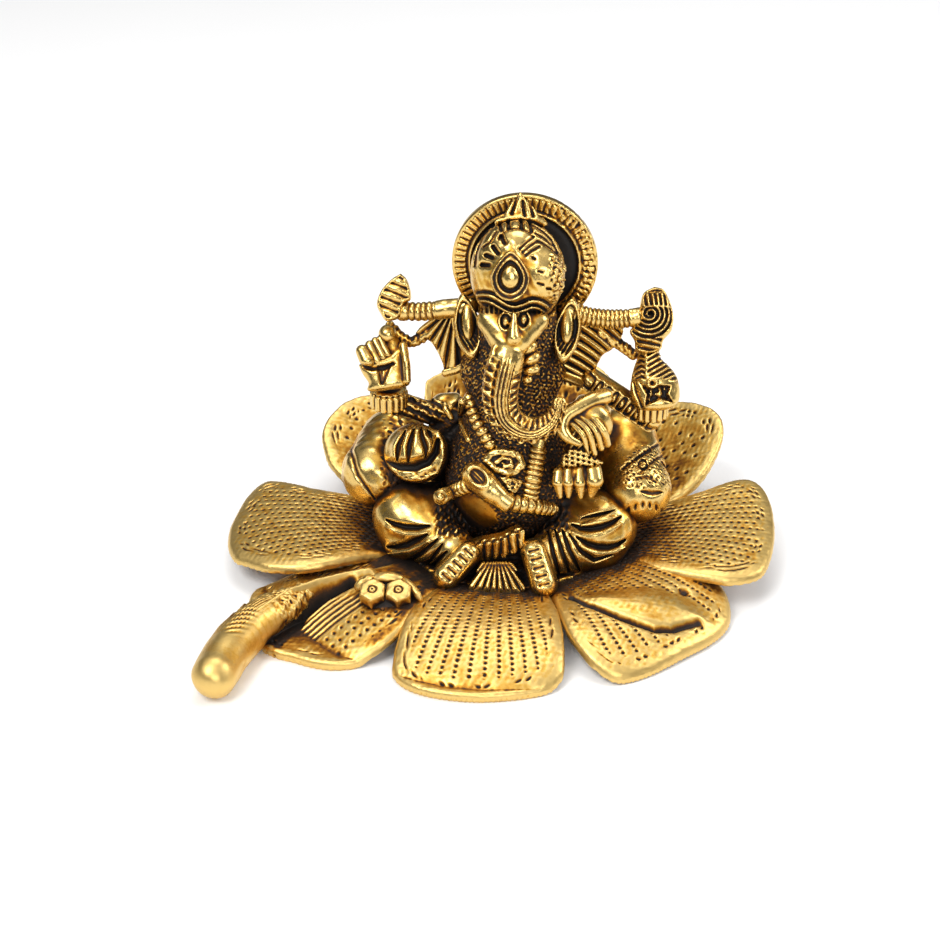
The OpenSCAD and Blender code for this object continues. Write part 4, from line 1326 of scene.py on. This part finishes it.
@sculpt("figure_gold", "blessing_hand", margin=3)
def blessing_hand():
    o = mid("blessing_hand")
    palm = smooth_shape([(-5.3, -1.8), (-2.6, -0.6), (1.4, 0.4), (3.3, 2.2), (4.4, 2.2), (4.9, -1.0),
                         (5.4, -4.6),
                         (4.6, -6.4), (-2.8, -7.4), (-3.1, -5.6), (-4.4, -3.8)])

    def field(p):
        u, v, w = face_on(p, o)
        edge = outline(u, v, palm)
        body = both((np.abs(w) - 2.6) + 0.05 * (u - 0.4) ** 2, edge, 1.6)
        body = join(body, strand(p, [spot(o, 4.2, 2.2, 1.6), spot(o, 4.8, -1.2, 2.2),
                                     spot(o, 5.0, -5.0, 1.8)], 0.85), 0.5)
        body = join(body, egg(p, spot(o, 0.9, 4.7, 0.6), (1.9, 2.1, 1.9)), 0.3)
        body = join(body, rod(p, spot(o, 1.4, 4.2, 0), spot(o, 2.4, 1.0, 0), 1.5, 1.7), 0.4)
        tilt = unit(np.array([0.42, -0.9]))
        fat = [spot(o, -4.4, 1.0, 1.4), spot(o, -3.3, -1.0, 1.8)]
        body = np.minimum(body, rod(p, *fat, 1.35, 1.7))
        for k, (a, b, r) in enumerate(((-2.9, 2.3, 0.85), (-1.7, 3.1, 0.75), (-0.7, 3.6, 0.6))):
            tip = (a + 3.6 * tilt[0] * 1.1, b + 3.6 * tilt[1])
            body = np.minimum(body, rod(p, spot(o, a, b, 1.2), spot(o, *tip, 2.0), r * 1.15, r))
        crack = 0.9 * stroke(u, v, [(-4.4, -2.2), (-2.2, -2.8), (0.4, -2.4), (2.0, -1.7)], 0.38)
        mark = np.abs(outline(u, v, [(-0.7, -2.7), (1.0, -2.4), (-0.2, -5.6)])) - 0.15
        palm_mark = 0.7 * bell(np.maximum(mark, 0), 0.35) + 0.5 * step(0, -0.4,
            outline(u, v, [(-0.7, -2.7), (1.0, -2.4), (-0.2, -4.6)]))
        return body + (crack + palm_mark) * step(0.5, 1.5, w) + 0.04 * grain(p, 2.0, 67)
    return field


@sculpt("figure_gold", "noose_hand", margin=3)
def noose_hand():
    o = mid("noose_hand")
    shape = smooth_shape([(-3.6, 4.6), (0, 5.3), (0.9, 3.2), (2.4, 1.8), (4.1, -0.4), (4.8, -3.1),
                          (4.4, -5.8),
                          (1.5, -7.4), (-3, -7.4), (-6.2, -5.4), (-5.9, -1.4), (-4.5, 2.3)])
    star = [(-3.9, -1.6), (-1.9, -2.8), (0.3, -2.2), (2.8, -2.4), (2.2, -4.2), (3.6, -6.2), (0.6, -5.4),
            (-2.8, -6.8), (-2.4, -4.4)]

    def field(p):
        u, v, w = face_on(p, o)
        edge = outline(u, v, shape)
        body = both(np.abs(w) - 3.0 + 0.09 * u**2, edge, 1.6)
        slanted = (-0.5 * u + 0.86 * v)
        stripes = waves(slanted / 0.98) * step(-2.6, -1.8, u) * step(-1.2, -0.2, v + 0.2 * u)
        ladder = waves((v + 0.5 * np.abs(u + 3.4)) / 1.1) * step(-2.4, -3.0, u) * step(-1.6, -0.6,
            v) * step(-5.2, -4.6, u)
        pit = 1.5 * step(0.1, -0.7, outline(u, v, star))
        ring = np.hypot(u + 1.2, v + 2.0)
        pit = np.minimum(pit, 1.5 * step(0.9, 1.3, ring)) + 0.6 * bell(ring, 0.4) - 0.2 * bell(ring - 0.9,
            0.3)
        inside = np.minimum(pit, 1) * (0.4 * grain(p, 1.1, 69))
        line = 0.6 * stroke(u, v, [(-4.9, -1.8), (-4.3, -4), (-3.2, -6.8)], 0.25)
        deep = 0.6 * stripes + 0.6 * ladder + pit + line + inside
        return body + deep * step(0, 1, w) + 0.04 * grain(p, 2.0, 68)
    return field


def cuff_field(node):
    lo, hi = box(node)
    o = (lo + hi) / 2
    a, b = (hi[0] - lo[0]) / 2 - 0.35, (hi[1] - lo[1]) / 2 - 0.35

    def field(p):
        x, y, z = (p - o).T
        ring = np.hypot(x / a, y / b)
        turn = np.arctan2(x, -y)
        tall = (hi[2] - lo[2]) / 2 - 0.25
        body = both((ring - 1) * min(a, b), np.abs(z) - tall, 0.7)
        ribs = beads(turn / TAU * 16, 0.7) * step(tall, tall - 0.5, np.abs(z + 0.3))
        return body + 0.2 - 0.5 * ribs + 0.5 * bell(z - tall + 0.9, 0.22)
    return field


sculpt("ornament_gold", "wrist_cuff_left")(lambda: cuff_field("wrist_cuff_left"))
sculpt("ornament_gold", "wrist_cuff_right")(lambda: cuff_field("wrist_cuff_right"))


@sculpt("figure_gold", "knee_hand", margin=1.5)
def knee_hand():
    o = mid("knee_hand")
    dome = smooth_shape([(-7.6, -1.6), (-6.8, 1.4), (-4.6, 4.2), (-1.6, 5.6), (1.4, 4.8), (3.0, 2.2),
                         (2.6, -0.6), (0.6, -2.0),
                         (-3.4, -2.8), (-6.2, -2.6)])
    gaps = [[(-3.4, 4.2), (-4.9, 0.9), (-5.2, -2.2)], [(-1.6, 4.6), (-2.6, 1.0), (-2.9, -2.6)],
            [(-0.2, 4.8), (0.0, 3.0), (0.9, 0.4), (0.8, -1.6)], [(1.2, 4.2), (2.0, 2.6)]]
    crescent = [(-7.6, -2.4), (-4.6, -3.5), (-1.4, -3.5), (1.2, -2.4), (2.8, -0.4), (3.4, 2.2)]
    cup = [(-7.5, -3.9), (-5.6, -5.6), (-2.9, -6.4), (0.6, -6.2), (3.4, -4.8), (4.6, -1.8), (4.7, 1.4),
           (3.6, 4.0)]

    def field(p):
        u, v, w = face_on(p, o)
        body = egg(p, spot(o, -1.3, -0.6, -1.6), (6.9, 5.4, 6.6))
        near = step(-1, 1.5, w)
        raised = 1.1 * step(0.2, -1.4, outline(u, v, dome)) + 0.8 * stroke(u, v, cup, 0.8)
        deep = sum(1.4 * lens(u, v, line, 0.5) for line in gaps) + 1.6 * lens(u, v, crescent, 0.85)
        body = body + (np.minimum(deep, 2.2) - raised) * near
        return body + 0.2 * np.maximum(grain(p, 1.2, 71), 0) * step(-4, -5.5, v)
    return field, lambda p: 0.5 * lens(*face_on(p, o)[:2], crescent, 1.0)


@sculpt("figure_gold", "sweet_hand", margin=1.6)
def sweet_hand():
    o = mid("sweet_hand")
    fingers = [([(-4.9, 0.6), (-5.1, -1.4), (-4.6, -4.4)], 1.25),
               ([(-2.9, 1.0), (-3.0, -1.4), (-2.9, -4.3)], 1.3),
               ([(-0.6, 1.2), (-0.6, -1.4), (-0.4, -4.4)], 1.4), ([(2.1, 1.0), (2.4, -1.0), (1.8, -4.0)],
                                                                  1.9)]

    def field(p):
        body = egg(p, spot(o, -0.8, 0.4, 0.2), (4.9, 3.4, 3.4)) + 0.25 * np.maximum(grain(p, 1.3, 73), 0)
        for line, r in fingers:
            path = [spot(o, a, b, c) for (a, b), c in zip(line, (2.2, 2.6, 1.8))]
            body = np.minimum(body, rod(p, path[0], path[1], r, r))
            body = np.minimum(body, rod(p, path[1], path[2], r, r * 0.35))
        return body
    return field, lambda p: 0.35 * step(-1.5, -3.5, face_on(p, o)[1])


@sculpt("ornament_gold", "sweet_cuff", margin=2.4)
def sweet_cuff():
    o = mid("sweet_cuff")
    shape = smooth_shape([(-4.7, -5.2), (0, -4.9), (3.7, -4.7), (3.6, -3.8), (1.8, -3.4), (0.2, -2.0),
                          (-2.6, -1.6), (-4.2, -3.2)], 40)

    def field(p):
        u, v, w = face_on(p, o)
        edge = outline(u, v, shape)
        body = both(np.abs(w - 1.0 + 0.06 * (u + 0.5) ** 2) - 2.4, edge, 0.5)
        x, y = u / 1.15, (v + 0.25 * u) / 1.0
        dots = np.hypot(x - np.round(x), y - np.round(y))
        sleeve = rod(p, o + (0.6, 0.8, 2.4), o + (-0.4, 0.2, -2.4), 3.0, 3.6)
        return np.minimum(body + (0.7 * bell(dots, 0.3) - 0.15) * step(0.2, 1.2, w),
                          sleeve + 0.4 * waves((u * 0.8 - 0.6 * v) / 1.3))
    return field


@sculpt("ornament_gold", "sash", margin=3.2)
def sash():
    o = mid("sash")
    roll = curve([spot(o, *q) for q in ((4.2, 3.2, -0.6), (1.4, 2.2, 1.2), (-1.4, 0.8, 2.2),
                                        (-4.0, -0.8, 2.8), (-4.9, -3.2, 3.0),
                                        (-3.8, -5.4, 3.0), (-1.6, -6.6, 2.8))], 20)
    ridges = [([(-3.4, -2.2), (-1.6, -3.8), (-0.3, -5.6), (0.4, -8.8)], 0.62),
              ([(-2.6, -1.4), (-0.4, -3.0), (1.0, -5.2), (1.9, -8.8)], 0.62),
              ([(-1.4, -0.9), (0.8, -2.5), (2.4, -4.6), (3.3, -7.6)], 0.66),
              ([(0.4, -0.6), (2.2, -2.2), (3.8, -4.4), (4.6, -6.8)], 0.75)]

    def field(p):
        d, run, side, front = along(p, roll, NEAR)
        body = d - spread(run, roll, [1.7, 1.75, 1.6, 1.5, 1.4, 1.2, 0.7])
        for line, r in ridges:
            path = curve([spot(o, a, b, c) for (a, b), c in zip(line, (2.2, 2.6, 2.4, 0.4))], 9)
            body = np.minimum(body, strand(p, path, r))
        body = np.minimum(body, egg(p, spot(o, 1.2, -2.6, -0.6), (4.6, 3.2, 5.0)))
        return body
    return field


# ---------- meshes ----------

def carve(entry):
    nodes, slot, margin, make = entry
    corners = [box(node) for node in nodes]
    lo = np.min([c[0] for c in corners], axis=0) - margin
    hi = np.max([c[1] for c in corners], axis=0) + margin
    lo[2] = max(lo[2], -2 * VOXEL)
    made = make()
    field, grime_and_shade = made if isinstance(made, tuple) else (made, None)
    values = sample(field, lo, hi, VOXEL)
    verts, quads = surface(values, lo, VOXEL)
    verts = settle(field, verts, VOXEL)
    verts, quads = drop_crumbs(verts, quads, 60 if VOXEL > 0.25 else 120)
    verts[:, 2] = np.maximum(verts[:, 2], 0)
    return verts, quads, values, lo, 0.0 if grime_and_shade is None else grime_and_shade(verts)


with ThreadPoolExecutor(4) as pool:
    carved = list(pool.map(carve, SCULPTS))

shade = Shade(*(np.array(corner) / MM for corner in CAD_BOX))
for verts, quads, values, lo, grime_and_shade in carved:
    shade.add(values, lo, VOXEL)
NARROW, WIDE = shade.blurred(0.8), shade.blurred(2.6)


def wear_and_shade(verts, quads, grime_and_shade):
    """Red: fine crevices. Green: broad hollows, grime and painted shade. Blue: high spots."""
    out = normals(verts, quads)
    pairs = neighbours(quads)
    scale = VOXEL / 0.21
    near = smoothed(verts, pairs, round(8 / scale**2))
    far = smoothed(near, pairs, round(56 / scale**2))
    fine = np.einsum("ij,ij->i", near - verts, out)
    broad = np.einsum("ij,ij->i", far - verts, out)
    around = (1.2 * shade.read(NARROW, verts + out * 0.7) + 1.3 * shade.read(WIDE, verts + out * 1.8)
              + 0.9 * shade.read(WIDE, verts + out * 4))
    red = np.clip(fine / 0.11, 0, 1)
    green = np.clip(around * 0.75 - 0.16 + broad / 0.9 + grime_and_shade, 0, 1)
    blue = np.clip(-fine / 0.10 - broad / 1.6, 0, 1)
    return np.stack([red, green, blue, np.ones(len(verts))], 1)


def build(name, verts, quads, colours):
    mesh = bpy.data.meshes.new(name)
    mesh.vertices.add(len(verts))
    mesh.vertices.foreach_set("co", (verts * MM).astype(np.float32).ravel())
    mesh.loops.add(quads.size)
    mesh.loops.foreach_set("vertex_index", quads.astype(np.int32).ravel())
    mesh.polygons.add(len(quads))
    mesh.polygons.foreach_set("loop_start", np.arange(0, quads.size, 4, dtype=np.int32))
    mesh.polygons.foreach_set("use_smooth", np.ones(len(quads), bool))
    mesh.update(calc_edges=True)
    layer = mesh.color_attributes.new("wear_and_shade", "FLOAT_COLOR", "POINT")
    layer.data.foreach_set("color", colours.astype(np.float32).ravel())
    piece = bpy.data.objects.new(name, mesh)
    bpy.context.scene.collection.objects.link(piece)
    return piece


with ThreadPoolExecutor(4) as pool:
    worn_and_shaded = list(pool.map(lambda c: wear_and_shade(c[0], c[1], c[4]), carved))


# ---------- materials ----------

def nodes_of(name):
    material = bpy.data.materials.new(name)
    material.use_nodes = True
    tree = material.node_tree
    return material, tree, tree.nodes["Principled BSDF"]


def add(tree, kind, inputs=(), **settings):
    node = tree.nodes.new(kind)
    for key, value in settings.items():
        setattr(node, key, value)
    for key, value in dict(inputs).items():
        if isinstance(value, bpy.types.NodeSocket):
            tree.links.new(value, node.inputs[key])
        else:
            node.inputs[key].default_value = value
    return node


def maths(tree, operation, a, b=0.0, clamp=False):
    return add(tree, "ShaderNodeMath", {0: a, 1: b}, operation=operation, use_clamp=clamp).outputs[0]


def ramp(tree, value, stops):
    node = add(tree, "ShaderNodeValToRGB", {0: value})
    band = node.color_ramp.elements
    while len(band) < len(stops):
        band.new(0.5)
    for element, (place, colour) in zip(band, stops):
        element.position = place
        element.color = (*colour, 1) if len(colour) == 3 else (colour[0],) * 3 + (1,)
    return node.outputs[0]


def antique_gold(name, warmth, dirt, gloss):
    """Cast gold-plated metal whose recesses hold a black-brown patina."""
    material, tree, shader = nodes_of(name)
    place = add(tree, "ShaderNodeTexCoord").outputs["Object"]
    paint = add(tree, "ShaderNodeAttribute", attribute_name="wear_and_shade").outputs["Color"]
    parts = add(tree, "ShaderNodeSeparateColor", {0: paint}).outputs
    large = add(tree, "ShaderNodeTexNoise", {"Vector": place, "Scale": 260, "Detail": 3,
                                             "Roughness": 0.6}).outputs[0]
    small = add(tree, "ShaderNodeTexNoise", {"Vector": place, "Scale": 1300, "Detail": 2,
                                             "Roughness": 0.6}).outputs[0]
    # How dark: patina in crevices and hollows, plus the painted shade carried in the green channel, broken up
    # by noise, and rubbed off the high spots.
    dark = maths(tree, "MULTIPLY", parts[1], dirt)
    dark = maths(tree, "MAXIMUM", dark, maths(tree, "MULTIPLY", parts[0], 0.95))
    dark = maths(tree, "ADD", dark, maths(tree, "MULTIPLY", maths(tree, "SUBTRACT", large, 0.5), 0.42))
    dark = maths(tree, "ADD", dark, maths(tree, "MULTIPLY", maths(tree, "SUBTRACT", small, 0.5), 0.30))
    dark = maths(tree, "SUBTRACT", dark, maths(tree, "MULTIPLY", parts[2], 0.42), clamp=True)
    colour = ramp(tree, dark, [
        (0.0, (0.74, 0.51, 0.17)), (0.14, tuple(np.array((0.66, 0.40, 0.08)) * warmth)),
        (0.30, tuple(np.array((0.48, 0.225, 0.028)) * warmth)), (0.46, (0.20, 0.075, 0.012)),
        (0.66, (0.03, 0.012, 0.005)),
        (1.0, (0.006, 0.004, 0.003))])
    tree.links.new(colour, shader.inputs["Base Color"])
    metal = ramp(tree, dark, [(0.0, (1.0,)), (0.42, (0.95,)), (0.7, (0.35,))])
    tree.links.new(metal, shader.inputs["Metallic"])
    rough = ramp(tree, dark, [(0.0, (gloss,)), (0.35, (gloss + 0.1,)), (0.7, (0.62,))])
    rough = maths(tree, "ADD", rough, maths(tree, "MULTIPLY", maths(tree, "SUBTRACT", small, 0.5), 0.16),
                  clamp=True)
    tree.links.new(rough, shader.inputs["Roughness"])
    height = maths(tree, "ADD", maths(tree, "MULTIPLY", small, 0.6), maths(tree, "MULTIPLY", large, 0.6))
    bump = add(tree, "ShaderNodeBump", {"Height": height, "Strength": 0.35, "Distance": 0.00012})
    tree.links.new(bump.outputs[0], shader.inputs["Normal"])
    return material


def bare_steel():
    material, tree, shader = nodes_of("brushed_steel")
    place = add(tree, "ShaderNodeTexCoord").outputs["Object"]
    turned = add(tree, "ShaderNodeTexNoise", {"Vector": place, "Scale": 900, "Detail": 3}).outputs[0]
    colour = ramp(tree, turned, [(0.3, (0.42, 0.42, 0.43)), (0.7, (0.60, 0.60, 0.61))])
    tree.links.new(colour, shader.inputs["Base Color"])
    tree.links.new(ramp(tree, turned, [(0.3, (0.25,)), (0.7, (0.42,))]), shader.inputs["Roughness"])
    shader.inputs["Metallic"].default_value = 1
    bump = add(tree, "ShaderNodeBump", {"Height": turned, "Strength": 0.2, "Distance": 0.00008})
    tree.links.new(bump.outputs[0], shader.inputs["Normal"])
    return material


GOLDS = {
    "flower_gold": antique_gold("flower_gold", (1.0, 0.98, 1.0), 0.95, 0.43),
    "figure_gold": antique_gold("figure_gold", (1.0, 1.0, 1.0), 1.0, 0.26),
    "ornament_gold": antique_gold("ornament_gold", (1.0, 1.0, 1.0), 1.1, 0.26),
}
STEEL = bare_steel()

for (names, slot, margin, make), (verts, quads, *_), colours in zip(SCULPTS, carved, worn_and_shaded):
    piece = build("cast_" + names[0], verts, quads, colours)
    piece.data.materials.append(GOLDS[slot])
    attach(piece, "root")
    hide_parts(*names)


# ---------- CAD nodes that stay ----------

def plain_gold():
    """The same gold for a plain CAD face, with no wear drawn on it."""
    material, tree, shader = nodes_of("flower_plate_gold")
    place = add(tree, "ShaderNodeTexCoord").outputs["Object"]
    large = add(tree, "ShaderNodeTexNoise", {"Vector": place, "Scale": 300, "Detail": 4,
                                             "Roughness": 0.65}).outputs[0]
    colour = ramp(tree, large, [(0.32, (0.05, 0.022, 0.009)), (0.5, (0.42, 0.21, 0.05)),
                                (0.68, (0.82, 0.55, 0.2))])
    tree.links.new(colour, shader.inputs["Base Color"])
    tree.links.new(ramp(tree, large, [(0.35, (0.3,)), (0.5, (1.0,))]), shader.inputs["Metallic"])
    tree.links.new(ramp(tree, large, [(0.35, (0.6,)), (0.6, (0.34,))]), shader.inputs["Roughness"])
    bump = add(tree, "ShaderNodeBump", {"Height": large, "Strength": 0.3, "Distance": 0.0002})
    tree.links.new(bump.outputs[0], shader.inputs["Normal"])
    return material


for node, material in (("flower_plate", plain_gold()), ("fixing_screw", STEEL), ("screw_washer", STEEL)):
    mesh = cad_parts[node].data
    mesh.materials.clear()
    mesh.materials.append(material)


# ---------- floor, light and camera ----------

def flat_mesh(name, corners):
    mesh = bpy.data.meshes.new(name)
    mesh.from_pydata(corners, [], [tuple(range(len(corners)))])
    thing = bpy.data.objects.new(name, mesh)
    bpy.context.scene.collection.objects.link(thing)
    return thing


floor = flat_mesh("floor", [(-3, -3, 0), (3, -3, 0), (3, 3, 0), (-3, 3, 0)])
material, tree, shader = nodes_of("pale_floor")
place = add(tree, "ShaderNodeTexCoord").outputs["Object"]
mottle = add(tree, "ShaderNodeTexNoise", {"Vector": place, "Scale": 12, "Detail": 2}).outputs[0]
tree.links.new(ramp(tree, mottle, [(0, (0.93, 0.93, 0.93)), (1, (0.96, 0.96, 0.96))]),
               shader.inputs["Base Color"])
shader.inputs["Roughness"].default_value = 0.85
shader.inputs["Specular IOR Level"].default_value = 0.1
floor.data.materials.append(material)


def softbox(name, place, aim, size, power, colour=(1, 1, 1)):
    light = bpy.data.lights.new(name, "AREA")
    light.shape = "RECTANGLE"
    light.size, light.size_y = size
    light.energy = power
    light.color = colour
    lamp = bpy.data.objects.new(name, light)
    lamp.location = place
    lamp.rotation_euler = (Vector(aim) - Vector(place)).to_track_quat("-Z", "Y").to_euler()
    bpy.context.scene.collection.objects.link(lamp)


softbox("key", (-0.35, -0.45, 0.75), (0, 0, 0.03), (0.45, 0.45), 5.1)
softbox("front", (0.25, -0.85, 0.45), (0, 0, 0.03), (0.5, 0.3), 3)
softbox("side", (0.75, 0.1, 0.5), (0, 0, 0.03), (0.3, 0.5), 3.2)
softbox("top", (0, 0.25, 0.9), (0, 0, 0.03), (0.5, 0.35), 2.4)

# The room: bright above, dark round the sides, so that the metal has something to mirror.
world = bpy.data.worlds.new("studio")
bpy.context.scene.world = world
world.use_nodes = True
tree = world.node_tree
way = add(tree, "ShaderNodeSeparateXYZ", {0: add(tree, "ShaderNodeTexCoord").outputs["Generated"]}).outputs[2]
sky = ramp(tree, way, [(0.0, (0.8,)), (0.10, (0.10,)), (0.45, (0.16,)), (0.75, (0.7,)), (1.0, (1.0,))])
tree.links.new(sky, tree.nodes["Background"].inputs[0])
tree.nodes["Background"].inputs[1].default_value = 0.72
bpy.context.scene.view_settings.view_transform = "Standard"

TARGET = Vector((-0.008, 0, 0.02))
camera = bpy.data.objects.new("camera", bpy.data.cameras.new("camera"))
camera.location = TARGET + 0.4 * Vector(NEAR)
camera.rotation_euler = (TARGET - camera.location).to_track_quat("-Z", "Y").to_euler()
camera.data.lens = 70.8
camera.data.clip_start = 0.01
bpy.context.scene.collection.objects.link(camera)
bpy.context.scene.camera = camera

bpy.context.view_layer.update()
